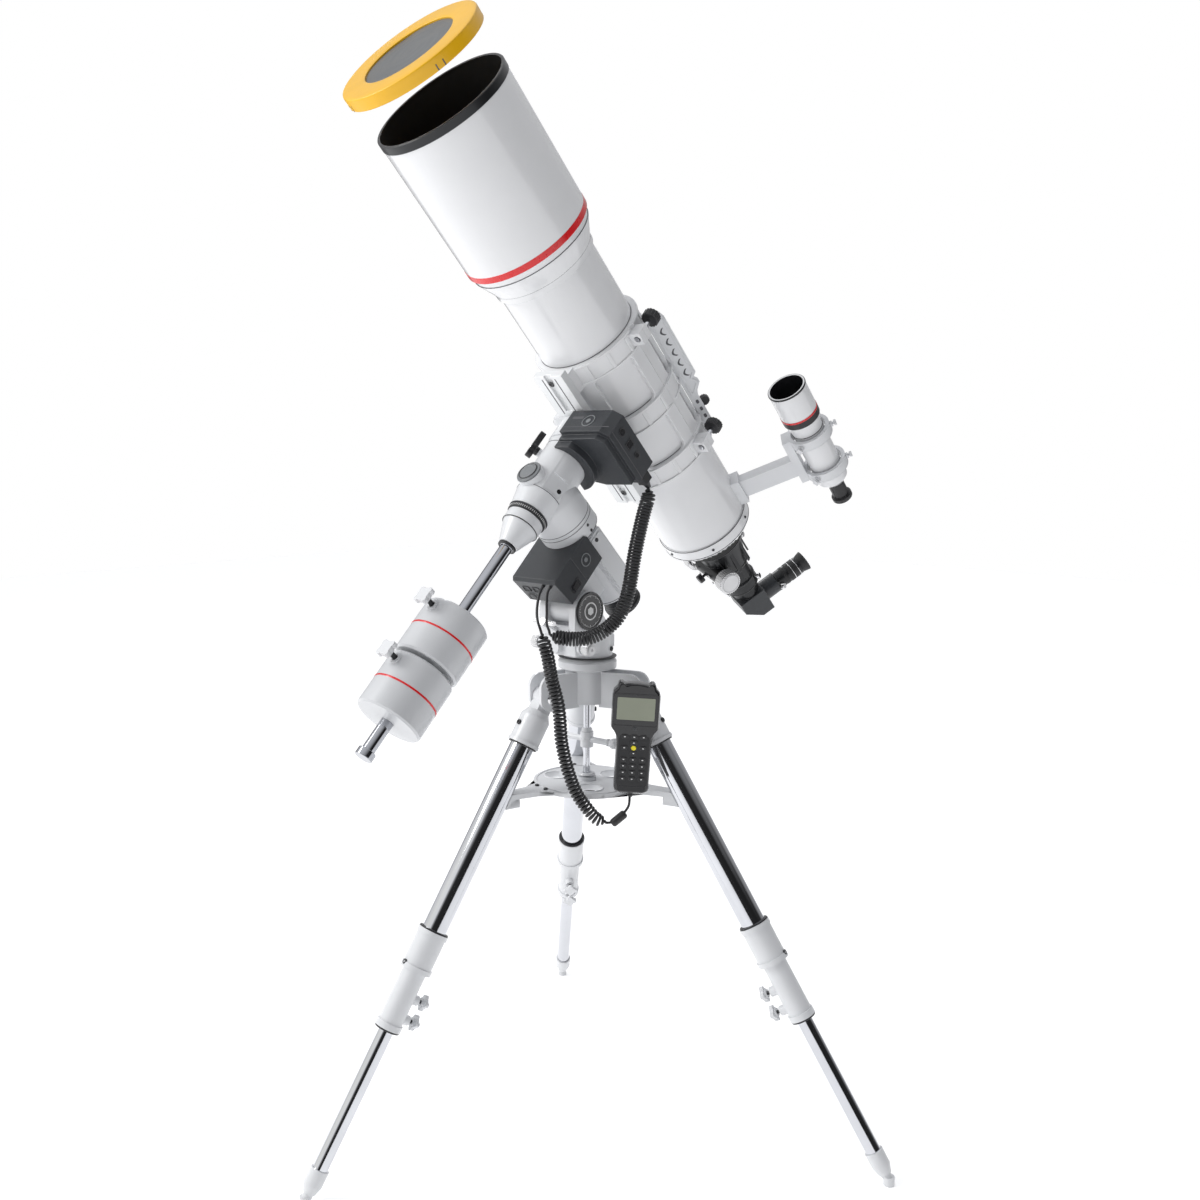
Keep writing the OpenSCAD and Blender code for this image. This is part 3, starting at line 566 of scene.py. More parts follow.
# ---------- azimuth and latitude ----------
bm = bmesh.new()
LATITUDE_MM = turn("Y", 90)
disc(bm, 31, 40.1, 43, 96, LATITUDE_MM)
lathe(bm, [(27, 43), (31, 43), (30.4, 44.2), (27.6, 44.2)], 96, at=LATITUDE_MM)
solid("latitude_dial", bm, GLOSS_BLACK, LATITUDE, "azimuth", 0.3)
bm = bmesh.new()
for k in range(60):
    wide = 3.6 if k % 5 == 0 else 2
    prism(bm, [(26.4 - wide, -0.35), (26.4, -0.35), (26.4, 0.35), (26.4 - wide, 0.35)], 43.05, 43.5,
          LATITUDE_MM @ turn("Z", 6 * k))
solid("latitude_ticks", bm, WHITE_MARK, LATITUDE, "azimuth", 0)
bm = bmesh.new()
lathe(bm, [(12.4, 43), (14.6, 43), (14.6, 44), (12.4, 44)], 64, at=LATITUDE_MM)
disc(bm, 7, 43, 44, 6, LATITUDE_MM)
solid("dial_badge", bm, WHITE_MARK, LATITUDE, "azimuth", 0.3)
bm = bmesh.new()
for x in (-30, 30):
    for y in (-62, -14):
        cap_screw(bm, 5, 3.4, at_mm(x, y, 838))
for a in (20, 140, 260):
    cap_screw(bm, 4, 3, turn("Z", a) @ at_mm(42, 0, 812) @ turn("Y", 90))
solid("base_screws", bm, ANODISED, Matrix.Identity(4), "azimuth", 0.25)
for s, side in ((-1, "west"), (1, "east")):
    bm = bmesh.new()
    tooth_ring(bm, 11.4, 0.9, 52, 62.5, 30, at_mm(0, -60, 822) @ turn("Y", 90 * s))
    lathe(bm, [(5.2, 46.6), (8, 46.6), (8, 49.6), (5.2, 49.6)], 40, at=at_mm(0, -60, 822) @ turn("Y", 90 * s))
    lathe(bm, [(2, 64), (7, 64), (8, 65), (5, 65.6), (2, 65)], 40, at=at_mm(0, -60, 822) @ turn("Y", 90 * s))
    solid(f"azimuth_grip_{side}", bm, SATIN, Matrix.Identity(4), f"azimuth_knob_{side}",
          0.25)

# ---------- polar axis ----------
bm = bmesh.new()
for z in (-88.3, -65.2):
    lathe(bm, [(47.6, z), (48.25, z), (48.25, z + 0.9), (47.6, z + 0.9)], 128)
lathe(bm, [(38.7, -229.5), (39.2, -229.5), (39.2, -228.3), (38.7, -228.3)], 96)
solid("polar_seams", bm, SEAM_AND_SHADE, HEAD, "polar_axis", 0)
bm = bmesh.new()
prism(bm, rounded(34, 118, 6), 42, 43.8, turn("Y", 90) @ at_mm(161, 0, 0) @ turn("Z", 90))
solid("polar_panel", bm, ENAMEL, HEAD, "polar_axis", 0.8)
bm = bmesh.new()
for z in (-214, -108):
    cap_screw(bm, 3.4, 1.8, at_mm(43.6, 0, z) @ turn("Y", 90))
for z in (-84, -72):
    cap_screw(bm, 2.6, 1, at_mm(48, 0, z) @ turn("Y", 90))
solid("polar_screws", bm, ANODISED, HEAD, "polar_axis", 0.2)
bm = bmesh.new()
lathe(bm, [(14, -246.5), (25.6, -246.5), (27.4, -248.2), (14, -248.2)], 72)
for z in (-252, -257, -262):
    lathe(bm, [(27.3 + (-252 - z) * 0.26, z), (28.6 + (-252 - z) * 0.26, z - 0.6),
               (28.6 + (-252 - z) * 0.26, z - 2.4),
               (27.9 + (-252 - z) * 0.26, z - 3)], 96)
solid("scope_ribs", bm, BLACK, HEAD, "polar_axis", 0.2)
bm = bmesh.new()
lathe(bm, [(0.01, -243), (8, -242.4), (15.8, -241)], 64, closed=False)
solid("scope_lens", bm, LENS, HEAD, "polar_axis", 0)


def ring_badge(bm, r, at):
    lathe(bm, [(r - 1.6, -0.3), (r, -0.3), (r, 0.9), (r - 1.6, 0.9)], 56, at=at)
    disc(bm, r * 0.36, -0.3, 0.8, 32, at)


def port(bm, w, h, r, at, depth=0.8):
    """A raised frame round a socket."""
    lip = rounded(w + 3, h + 3, min(r + 1, (h + 2.9) / 2))
    inner = rounded(w, h, min(r, (h - 0.1) / 2))
    a = [bm.verts.new(at @ Vector((x, y, depth))) for x, y in lip]
    b = [bm.verts.new(at @ Vector((x, y, depth))) for x, y in inner]
    c = [bm.verts.new(at @ Vector((x, y, -0.3))) for x, y in lip]
    d = [bm.verts.new(at @ Vector((x, y, -0.3))) for x, y in inner]
    k = len(a)
    for i in range(k):
        j = (i + 1) % k
        for p, q in ((a, b), (b, d), (d, c), (c, a)):
            bm.faces.new((p[i], p[j], q[j], q[i]))


EAST_FACE = turn("Y", 90) @ turn("Z", 90)   # a flat plate turned to face +x, its y up the polar axis
bm = bmesh.new()
ring_badge(bm, 11, at_mm(48, -42, -108) @ EAST_FACE)
solid("ra_badge", bm, CAP, HEAD, "polar_axis", 0.2)
bm = bmesh.new()
port(bm, 20, 12, 1.5, at_mm(48, -86, -120) @ EAST_FACE)
solid("ra_switch_frame", bm, BLACK, HEAD, "polar_axis", 0.2)
bm = bmesh.new()
prism(bm, rounded(17, 10, 1), -0.2, 1.6, at_mm(48, -86, -120) @ EAST_FACE @ turn("Y", 7))
solid("ra_switch", bm, GLOSS_BLACK, HEAD, "polar_axis", 0.3)
bm = bmesh.new()
for x, z in ((-30, -104), (-8, -104), (-30, -124)):
    port(bm, 12, 10, 1, at_mm(x, -115, z) @ turn("X", 90))
solid("ra_ports", bm, BLACK, HEAD, "polar_axis", 0.2)
bm = bmesh.new()
prism(bm, [(48.1, -64), (48.6, -64), (48.6, -63.2), (48.1, -63.2)], -135, -80)
solid("ra_box_seam", bm, SEAM_AND_SHADE, HEAD, "polar_axis", 0)

# ---------- declination axis ----------
TO_TUBE = turn("X", -90)                    # a piece drawn up z, turned to stand along the declination axis
bm = bmesh.new()
dome = [(17.6 * cosd(a), 48.9 + 2.0 * sind(a)) for a in range(0, 90, 10)]
lathe(bm, [(0.01, 46.2), (21, 46.2), (21, 48.2), (20.2, 49), (18.6, 49)] + dome + [(0.01, 50.9)], 80,
      closed=False)
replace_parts(solid("polar_cap_dome", bm, CAP, HEAD, "polar_cap", 0.4), "polar_cap")
bm = bmesh.new()
lathe(bm, [(15.4, 50.2), (16.6, 50.2), (16.6, 50.6), (15.4, 50.9)], 80)
solid("polar_cap_line", bm, BLACK, HEAD, "polar_cap", 0.1)
bm = bmesh.new()
lathe(bm, [(10.2, -112), (15, -112), (16.4, -110.6), (29.6, -76), (31, -74.5), (31, -57.4), (10.2, -57.4)],
      96, at=TO_TUBE)
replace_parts(solid("nose_cone", bm, ENAMEL, HEAD, "optical_tube", 0.7), "cw_nose")
bm = bmesh.new()
lathe(bm, [(30.8, -76.2), (31.3, -75.6), (31.3, -74.6), (30.8, -74)], 96, at=TO_TUBE)
lathe(bm, [(10.1, -116), (15, -116), (15, -112.2), (10.1, -112.2)], 64, at=TO_TUBE)
solid("nose_rings", bm, BLACK, HEAD, "optical_tube", 0.3)
bm = bmesh.new()
for k in range(60):
    prism(bm, [(-0.4, -55), (0.4, -55), (0.4, -51.4), (-0.4, -51.4)], 32.9, 33.4, turn("Y", 6 * k))
solid("dec_ticks", bm, WHITE_MARK, HEAD, "declination_unit", 0)
bm = bmesh.new()
lathe(bm, [(39.7, -16.6), (40.3, -16.4), (40.3, -15.6), (39.7, -15.4)], 128, at=TO_TUBE)
lathe(bm, [(39.7, 76), (40.25, 76), (40.25, 77.2), (39.7, 77.2)], 128, at=TO_TUBE)
lathe(bm, [(32.6, -49), (34.4, -49), (34.4, -47.9), (32.6, -47.9)], 96, at=TO_TUBE)
lathe(bm, [(47.8, -58), (48.3, -58), (48.3, -57), (47.8, -57)], 128)
solid("dec_seams", bm, SEAM_AND_SHADE, HEAD, "declination_unit", 0)

bm = bmesh.new()
disc(bm, 5.2, 35.2, 36.5, 40, turn("Y", 67) @ at_mm(10, -1, 0))
solid("pocket_hole", bm, GLOSS_BLACK, HEAD, "declination_unit", 0)

# the clutch: a lever on a round boss, turning on its post
POST = at_mm(-33, 62, 22) @ turn("Y", -33)
bm = bmesh.new()
outline = ([(9 * cosd(a), -9 + 9 * sind(a)) for a in range(180, 361, 15)]
           + [(8.4, 4), (8, 29)] + [(8 * cosd(a), 29 + 5 * sind(a)) for a in range(0, 181, 20)]
           + [(-8, 29), (-8.4, 4)])
prism(bm, outline, 12.4, 22.4, POST)
lathe(bm, [(0.01, 7.2), (7.4, 7.2), (7.4, 13), (9.6, 13.4), (9.6, 21.4), (8.6, 22.6), (0.01, 22.6)], 56,
      at=POST, closed=False)
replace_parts(solid("clutch_lever", bm, BLACK, HEAD, "dec_clutch", 1.2), "dec_clutch")
bm = bmesh.new()
cap_screw(bm, 4.6, 2.4, POST @ at_mm(0, 0, 20.6))
solid("clutch_screw", bm, SILVER, HEAD, "dec_clutch", 0.2)

# ---------- declination motor box ----------
TOP_FACE = at_mm(62, 105, 54)
bm = bmesh.new()
ring_badge(bm, 12, TOP_FACE)
solid("dec_badge", bm, CAP, HEAD, "declination_unit", 0.2)
bm = bmesh.new()
prism(bm, rounded(24, 5, 2.4), -0.3, 0.5, at_mm(36, 112, 54))
prism(bm, [(14.5, 91.5), (112.3, 91.5), (112.3, 92.4), (14.5, 92.4)], 53.4, 54.3)
prism(bm, [(111.5, 91.5), (112.3, 91.5), (112.3, 92.4), (111.5, 92.4)], -60, 42)
solid("dec_box_seam", bm, SEAM_AND_SHADE, HEAD, "declination_unit", 0)
bm = bmesh.new()
port(bm, 11, 11, 5.4, at_mm(112, 108, 26) @ EAST_FACE)
port(bm, 13, 11, 1, at_mm(112, 108, 0) @ EAST_FACE)
port(bm, 8, 8, 3.9, at_mm(112, 108, -24) @ EAST_FACE)
solid("dec_ports", bm, BLACK, HEAD, "declination_unit", 0.2)
bm = bmesh.new()
for y, z, r in ((108, 26, 5), (108, -24, 3.6)):
    disc(bm, r, 0, 0.35, 32, at_mm(112, y, z) @ EAST_FACE)
prism(bm, rounded(12, 10, 1), 0, 0.35, at_mm(112, 108, 0) @ EAST_FACE)
solid("dec_port_holes", bm, GLOSS_BLACK, HEAD, "declination_unit", 0)

# ---------- saddle and bar ----------
bm = bmesh.new()
for z in (-22, 22):
    cap_screw(bm, 5, 3, at_mm(-52, 138, z) @ turn("Y", -90))
for x in (-36, 36):
    for z in (-30, 30):
        cap_screw(bm, 3, 1.6, at_mm(x, 144, z) @ TO_TUBE)
cap_screw(bm, 5.5, 1.4, at_mm(0, 132, -140) @ turn("X", 90), 0.6)
cap_screw(bm, 5.5, 1.4, at_mm(0, 132, 108) @ turn("X", 90), 0.6)
solid("saddle_screws", bm, ANODISED, HEAD, "optical_tube", 0.2)
bm = bmesh.new()
# dark strips along the bar's two grooves: painted shade
for x in (-15, 13):
    prism(bm, [(x, 131.8), (x + 2, 131.8), (x + 2, 132.2), (x, 132.2)], -160, -44)
    prism(bm, [(x, 131.8), (x + 2, 131.8), (x + 2, 132.2), (x, 132.2)], 44, 118)
solid("bar_groove_shade", bm, SEAM_AND_SHADE, HEAD, "optical_tube", 0)

# ---------- counterweights ----------
for at, name in ((304, "upper"), (403, "lower")):
    bm = bmesh.new()
    lathe(bm, [(52.7, -at - 1.5), (53.3, -at - 1.5), (53.3, -at + 1.5), (52.7, -at + 1.5)], 128, at=TO_TUBE)
    solid(f"weight_line_{name}", bm, RED, HEAD, f"weight_{name}", 0)
    bm = bmesh.new()
    lathe(bm, [(5, 52.6), (10, 52.2), (9, 54.6), (5, 54.6)], 40, at=at_mm(0, 30 - at, 0))
    solid(f"weight_boss_{name}", bm, WEIGHT, HEAD, f"weight_{name}", 0.3)

# ---------- optical tube ----------
bm = bmesh.new()
lathe(bm, [(101.6, 540.2), (105.2, 540.2), (106, 539.4), (106, 527.6), (105.1, 527), (101.6, 540)], 160)
solid("rim_band", bm, ANODISED, TUBE, "optical_tube", 0.3)
bm = bmesh.new()
lathe(bm, [(104.8, 311.5), (105.5, 311.2), (105.5, 301.2), (104.8, 300.6)], 160)
solid("dew_shield_line", bm, RED, TUBE, "optical_tube", 0.1)
bm = bmesh.new()
for r, z in ((101.2, 299), (101.2, 289.2), (86.6, 256.4), (82.6, 245), (84.6, -329), (84.6, -349)):
    lathe(bm, [(r - 0.4, z), (r + 0.25, z), (r + 0.25, z + 1.2), (r - 0.4, z + 1.2)], 160)
solid("tube_seams", bm, SEAM_AND_SHADE, TUBE, "optical_tube", 0)
bm = bmesh.new()
lathe(bm, [(76, 262.2), (100.5, 288), (97, 288), (80, 268), (76, 268)], 128)
lathe(bm, [(72, 264), (76.2, 263), (76.2, 270), (74, 270), (72, 266)], 128)
solid("lens_cell", bm, MATT_BLACK, TUBE, "optical_tube", 0.3)
bm = bmesh.new()
lathe(bm, [(0.01, 268.5), (20, 268.2), (40, 267.2), (60, 265.6), (76, 263.6), (80, 262.8), (82, 256),
           (82, 250.2), (0.01, 250.2)], 128, closed=False)
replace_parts(solid("lens", bm, LENS, TUBE, "optical_tube", 0), "objective")
bm = bmesh.new()
for k in range(6):
    cap_screw(bm, 2.6, 1.6, turn("Z", 60 * k + 12) @ at_mm(84.6, 0, -339) @ turn("Y", 90))
solid("rear_cell_screws", bm, ANODISED, TUBE, "optical_tube", 0.15)

# raised ribs and end flanges on the three cradle rings
for a, part in ((95, "front"), (-30, "middle"), (-141, "rear")):
    for half, body, phi0, phi1 in (("lid", "cradle_lid", -90, 82), ("bed", "optical_tube", 90, 262)):
        bm = bmesh.new()
        start, arc = 90 - phi1, phi1 - phi0
        for z0, z1 in ((a - 18, a - 13.5), (a + 13.5, a + 18)):
            lathe(bm, [(90.8, z0 + 0.4), (93.2, z0 + 0.4), (93.2, z1 - 0.4), (90.8, z1 - 0.4)], 96, arc,
                  start)
        for phi in ((-60, -20, 20, 60) if half == "lid" else (98, 123, 148, 173, 210, 240)):
            lathe(bm, [(90.8, a - 14), (92.8, a - 14), (92.8, a + 14), (90.8, a + 14)], 4, 4, 88 - phi)
        solid(f"ring_ribs_{part}_{half}", bm, TUBE_WHITE, TUBE, body, 0.7)


def window(bm, phi0, phi1, a0, a1, corner, reach=3):
    """A filler with round corners, bent round the tube, between two rings and two bars of the cradle."""
    r_in, r_out, w, h = 82.7, 89.4, math.radians(phi1 - phi0) * 88, a1 - a0
    inner = rounded(w, h, corner, 8)
    k = len(inner)
    per = k // 4
    outer = []
    for q, (sx, sy) in enumerate(((1, 1), (-1, 1), (-1, -1), (1, -1))):
        for i in range(per):
            outer.append((sx * (w / 2 + reach), sy * (h / 2 + reach)))

    def place(p, r):
        phi = math.radians((phi0 + phi1) / 2) + p[0] / 88
        return Vector((r * math.sin(phi), r * math.cos(phi), (a0 + a1) / 2 + p[1]))
    grid = [[bm.verts.new(place(p, r)) for p in ring] for ring,
            r in ((outer, r_out), (inner, r_out), (inner, r_in), (outer, r_in))]
    for i in range(k):
        j = (i + 1) % k
        for p, q in zip(grid, grid[1:] + grid[:1]):
            try:
                bm.faces.new((p[i], p[j], q[j], q[i]))
            except ValueError:
                pass


for name, body, phi0, phi1 in (("bed", "optical_tube", 101.8, 150), ("lid", "cradle_lid", 52.5, 69.5),
                               ("crown", "cradle_lid", -41.5, 36)):
    for a0, a1, part in ((-12, 77, "front"), (-123, -48, "rear")):
        bm = bmesh.new()
        window(bm, phi0, phi1, a0, a1, 11 if name != "crown" else 14)
        solid(f"window_{name}_{part}", bm, TUBE_WHITE, TUBE, body, 0.8)
bm = bmesh.new()
for z in (113.2, 76.2, -12, -48.8, -123, -159.8):
    lathe(bm, [(82.4, z), (83.2, z), (83.2, z + 0.8), (82.4, z + 0.8)], 160)
solid("ring_shadow_lines", bm, SEAM_AND_SHADE, TUBE, "optical_tube", 0)
for a, part in ((95, "front"), (-141, "rear")):
    lug = round_tube(86) @ shift(0, 102, a)
    bm = bmesh.new()
    tooth_ring(bm, 14.5, 1.7, 0.8, 12.6, 16, at_mm(-46.4, 0, 0) @ turn("Y", 90))
    lathe(bm, [(3, 1.8), (8.6, 1.4), (10.4, 0.2), (12.4, 0), (13.6, 0.8), (13, 13.4), (7, 14.4), (4.2, 14.6),
               (3, 14)], 56,
          at=at_mm(-46.4, 0, 0) @ turn("Y", 90))
    disc(bm, 3.2, 1.2, 13.6, 32, at_mm(-46.4, 0, 0) @ turn("Y", 90))
    solid(f"ring_grip_{part}", bm, BLACK, lug, f"ring_knob_{part}", 0.5)
    bm = bmesh.new()
    lathe(bm, [(4.2, 0), (8, 0), (8, 1.6), (4.2, 1.6)], 40, at=at_mm(-14.2, 0, 0) @ turn("Y", 90))
    lathe(bm, [(4.1, -0.2), (5.6, 0), (5.6, 5), (4.1, 5)], 6, at=at_mm(-19.4, 0, 0) @ turn("Y", 90))
    solid(f"ring_washer_{part}", bm, CHROME, lug, f"ring_knob_{part}", 0.2)

# the carrying handle: a raised outline, finger grooves and slots drawn as painted shade, and the round knob
# behind it
HANDLE = round_tube(44) @ axes((0, 0, 0), (0, 0, 1), (0, 1, 0),
                               (-1, 0, 0))   # drawn with x along the tube, y outward
for face in (7, -7):
    bm = bmesh.new()
    out = [(78, 95), (74, 113), (62, 118), (-50, 118), (-58, 110), (-70, 116), (-82, 106), (-88, 103),
           (-88, 95)]
    inn = [(74, 98), (71, 110.5), (61, 115), (-48, 115), (-58, 106.4), (-70, 112), (-80, 103.6), (-84, 101),
           (-84, 98)]
    s = 1 if face > 0 else -1
    o0 = [bm.verts.new((x, y, face)) for x, y in out]
    o1 = [bm.verts.new((x, y, face + 1.6 * s)) for x, y in out]
    i0 = [bm.verts.new((x, y, face)) for x, y in inn]
    i1 = [bm.verts.new((x, y, face + 1.6 * s)) for x, y in inn]
    for k in range(len(out)):
        j = (k + 1) % len(out)
        for p, q in ((o0, o1), (o1, i1), (i1, i0), (i0, o0)):
            bm.faces.new((p[k], p[j], q[j], q[k]))
    solid(f"handle_rim_{'near' if s > 0 else 'far'}", bm, ENAMEL, HANDLE, "cradle_lid", 0.6)
    bm = bmesh.new()
    # flat dark crescents for the finger grooves and three slots: painted shade
    for x in (44, 22, 0, -22, -44):
        arc = [(x - 7 + 0.6 * i, 107 - 5.2 * math.sin(math.pi * i / 24)) for i in range(25)]
        back = [(px, py + 3.4) for px, py in reversed(arc)]
        prism(bm, arc + back, face, face + 0.3 * s)
    for x in (-104, -120, -136):
        prism(bm, rounded(8, 5, 2.4, cx=x, cy=99), face, face + 0.3 * s)
    solid(f"handle_groove_shade_{'near' if s > 0 else 'far'}", bm, SEAM_AND_SHADE, HANDLE, "cradle_lid", 0)
bm = bmesh.new()
tooth_ring(bm, 9, 1, 0, 9, 18, at_mm(-112, 110, -4.5))
solid("handle_knob", bm, BLACK, HANDLE, "cradle_lid", 0.5)

# ---------- focuser ----------
FOCUS = round_tube(25)
PINION = FOCUS @ shift(0, -36, -436)
bm = bmesh.new()
for z in (-353.2, -377, -391.8):
    lathe(bm, [(49.6, z), (50.6, z), (50.6, z + 1.4), (49.6, z + 1.4)], 128)
lathe(bm, [(30.4, -454.5), (36, -454.5), (37, -453.4), (37, -450), (30.4, -450)], 96)
solid("focuser_rings", bm, GLOSS_BLACK, FOCUS, "optical_tube", 0.2)
bm = bmesh.new()
tooth_ring(bm, 50.6, 0.9, -371, -358, 72)
solid("focuser_grip", bm, ANODISED, FOCUS, "optical_tube", 0.3)
bm = bmesh.new()
for k in range(3):
    place = turn("Z", 40 + 120 * k) @ at_mm(50, 0, -384.5) @ turn("Y", 90)
    lathe(bm, [(0.01, 0), (2.4, 0), (2.4, 4), (5, 4), (5.6, 4.8), (5.6, 9.2), (5, 10), (0.01, 10)], 32,
          at=place, closed=False)
for x in (-22, 22):
    for z in (-14, 14):
        cap_screw(bm, 3, 2, at_mm(x, -51, -436 + z * 0.7) @ turn("X", 90))
solid("focuser_screws", bm, SILVER, FOCUS, "optical_tube", 0.2)
bm = bmesh.new()
lathe(bm, [(0.01, 0), (2.6, 0), (2.6, 6), (8, 6.6), (8.6, 8), (8.6, 15), (7.6, 16.4), (0.01, 16.4)], 40,
      at=at_mm(0, -50.5, -436) @ turn("X", 90), closed=False)
solid("focus_lock", bm, BLACK, FOCUS, "optical_tube", 0.3)
bm = bmesh.new()
for s in (-1, 1):
    place = turn("Y", 90 * s)
    tooth_ring(bm, 21.4, 0.6, 47, 64, 72, place)
    lathe(bm, [(0.01, 67.4), (18.2, 67.4), (19.4, 66.6), (20, 65), (20, 63), (0.01, 63)], 80, at=place,
          closed=False)
    lathe(bm, [(4.1, 40.3), (11, 40.3), (13, 43), (13, 46.2), (4.1, 46.2)], 56, at=place)
solid("focus_grips", bm, SATIN, PINION, "focus_knobs", 0.3)
bm = bmesh.new()
for s in (-1, 1):
    lathe(bm, [(16.4, 67), (16.4, 67.6), (16.9, 67.6), (16.9, 67)], 64, at=turn("Y", 90 * s))
solid("focus_knob_lines", bm, CAP, PINION, "focus_knobs", 0)
bm = bmesh.new()
for z in (-511.5, -492.4):
    lathe(bm, [(32.6, z), (33.5, z), (33.5, z + 1.6), (32.6, z + 1.6)], 96)
lathe(bm, [(26, -513.5), (31, -513.5), (31, -512), (26, -512)], 96)
solid("drawtube_rings", bm, GLOSS_BLACK, TUBE, "drawtube", 0.2)
bm = bmesh.new()
for k in (20, 140, 260):
    place = turn("Z", k) @ at_mm(33, 0, -501) @ turn("Y", 90)
    lathe(bm, [(0.01, 0), (2, 0), (2, 3), (5, 3.2), (5.6, 4), (5.6, 8.6), (5, 9.4), (0.01, 9.4)], 32,
          at=place, closed=False)
solid("drawtube_screws", bm, SILVER, TUBE, "drawtube", 0.2)

bm = bmesh.new()
for phi in (20, 60, 100, 200):
    prism(bm, [(-5, 29.3), (5, 29.3), (5, 30.5), (-5, 30.5)], -489, -455, turn("Z", -phi))
for phi in (35, 75, 115, 155):
    prism(bm, [(-4, 0), (4, 0), (4, 3), (-4, 3)], -451, -394, turn("Z", -phi) @ at_mm(0, 41, 0))
solid("focuser_flats", bm, ANODISED, TUBE, "optical_tube", 0.5)

# ---------- star diagonal and eyepiece ----------
DIAGONAL = round_tube(32) @ shift(0, 0, -490)
bm = bmesh.new()
for s in (-1, 1):
    prism(bm, [(-44, -27), (-44, 25), (-92, 25), (-97, 20), (-97, 0), (-70, -27)], s * 27.0, s * 28.6,
          axes((0, 0, 0), (0, 0, 1), (0, 1, 0), (-1, 0, 0)))
solid("diagonal_plates", bm, GRAPHITE, DIAGONAL, "diagonal", 1.2)
bm = bmesh.new()
place = at_mm(0, 0, -71) @ TO_TUBE
lathe(bm, [(19.3, 24.5), (20.6, 24.5), (20.6, 28), (19.3, 28)], 80, at=place)
lathe(bm, [(16.2, 57.2), (19.8, 57.2), (20.3, 57.8), (20.3, 58.8), (16.2, 58.8)], 80, at=place)
lathe(bm, [(24.8, -46.5), (26.4, -46.5), (26.4, -44), (24.8, -44)], 80)
solid("diagonal_rings", bm, GLOSS_BLACK, DIAGONAL, "diagonal", 0.2)
bm = bmesh.new()
place = at_mm(0, 46, -71) @ turn("Z", 35) @ at_mm(19.5, 0, 0) @ turn("Y", 90)
lathe(bm, [(0.01, 0), (2, 0), (2, 4), (5, 4.4), (5.6, 5.4), (5.6, 11), (5, 11.8), (0.01, 11.8)], 32, at=place,
      closed=False)
solid("diagonal_screw", bm, SILVER, DIAGONAL, "diagonal", 0.2)
bm = bmesh.new()
place = at_mm(0, 0, -71) @ TO_TUBE
lathe(bm, [(12, 60), (16, 60), (16.4, 60.8), (16.4, 72), (18, 74.8), (18, 80), (17.2, 80.8), (17.2, 84),
           (18.2, 84.8), (18.2, 104), (16.4, 108.5), (12, 108.5)], 96, at=place)
lathe(bm, [(11, 108), (16, 108.2), (16, 111.5), (17.4, 115), (20, 126), (18.2, 126), (14, 113), (11, 112)],
      96, at=place)
solid("eyepiece_grip", bm, CUP, DIAGONAL, "eyepiece", 0.3)
bm = bmesh.new()
for y in (93, 104.6):
    lathe(bm, [(17.8, y), (18.5, y), (18.5, y + 1), (17.8, y + 1)], 96, at=place)
solid("eyepiece_lines", bm, SILVER, DIAGONAL, "eyepiece", 0)
bm = bmesh.new()
lathe(bm, [(0.01, 113.4), (6, 113), (10.9, 111.8)], 56, at=place, closed=False)
solid("eyepiece_lens", bm, LENS, DIAGONAL, "eyepiece", 0)

# ---------- finder ----------
FINDER = round_tube(57) @ shift(0, 242, 0)
bm = bmesh.new()
lathe(bm, [(29.2, -138.2), (32.3, -138), (32.9, -138.8), (32.9, -141), (32.1, -141.4)], 96)
lathe(bm, [(26.6, -207), (31.2, -207), (32.3, -205.6), (32.6, -194.2), (31.8, -194.2), (31.8, -199),
           (26.6, -199)], 96)
lathe(bm, [(13.6, -402.6), (17.4, -402.6), (18, -401.6), (18, -395), (13.6, -395)], 72)
lathe(bm, [(26.8, -232), (27.6, -232), (27.6, -230.8), (26.8, -230.8)], 96)
solid("finder_bands", bm, BLACK, FINDER, "optical_tube", 0.2)
bm = bmesh.new()
lathe(bm, [(31.8, -194), (32.5, -194), (32.5, -190.4), (31.8, -190.4)], 96)
solid("finder_line", bm, RED, FINDER, "optical_tube", 0)
bm = bmesh.new()
lathe(bm, [(0.01, -183), (14, -184), (28.6, -187)], 72, closed=False)
solid("finder_lens", bm, LENS, FINDER, "optical_tube", 0)
bm = bmesh.new()
for z in (-243, -319):
    for e in (-9.2, 8.2):
        lathe(bm, [(30.9, z + e), (37.4, z + e), (37.4, z + e + 1), (30.9, z + e + 1)], 96)
    for k in range(3):
        lathe(bm, [(0.01, 0), (5.4, 0), (5.4, 3.6), (0.01, 3.6)], 32,
              at=turn("Z", 120 * k) @ at_mm(0, 37, z) @ TO_TUBE, closed=False)
solid("finder_ring_trim", bm, ENAMEL, FINDER, "optical_tube", 0.4)

# ---------- solar filter ----------
bm = bmesh.new()
lathe(bm, [(72, 618.1), (76.5, 619.6), (104, 619.6), (109.2, 618), (110.3, 616), (110.3, 600.3),
           (109.4, 599.8), (106.5, 599.8), (106.2, 614.5), (72, 614.5)], 160)
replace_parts(solid("filter_ring", bm, YELLOW, TUBE, "sun_filter", 0.5), "sun_filter")
bm = bmesh.new()
rings = 14
lathe(bm, [(0.01 + 73.4 * i / rings, 616.2 + 0.35 * math.sin(i * 2.1) - 0.01 * i) for i in range(rings + 1)],
      96, closed=False)
for v in bm.verts:
    v.co.z += 0.5 * math.sin(v.co.x * 0.09) * math.cos(v.co.y * 0.07)
solid("filter_film", bm, FILM, TUBE, "sun_filter", 0)
bm = bmesh.new()
for phi in (60, 66, 240, 246, 150, 156, 330, 336):
    prism(bm, [(-0.8, 600.1), (0.8, 600.1), (0.8, 609), (-0.8, 609)], 110.15, 110.5,
          turn("Z", phi) @ turn("X", 90) @ at_mm(0, 0, 0))
solid("filter_slits", bm, SEAM_AND_SHADE, TUBE, "sun_filter", 0)

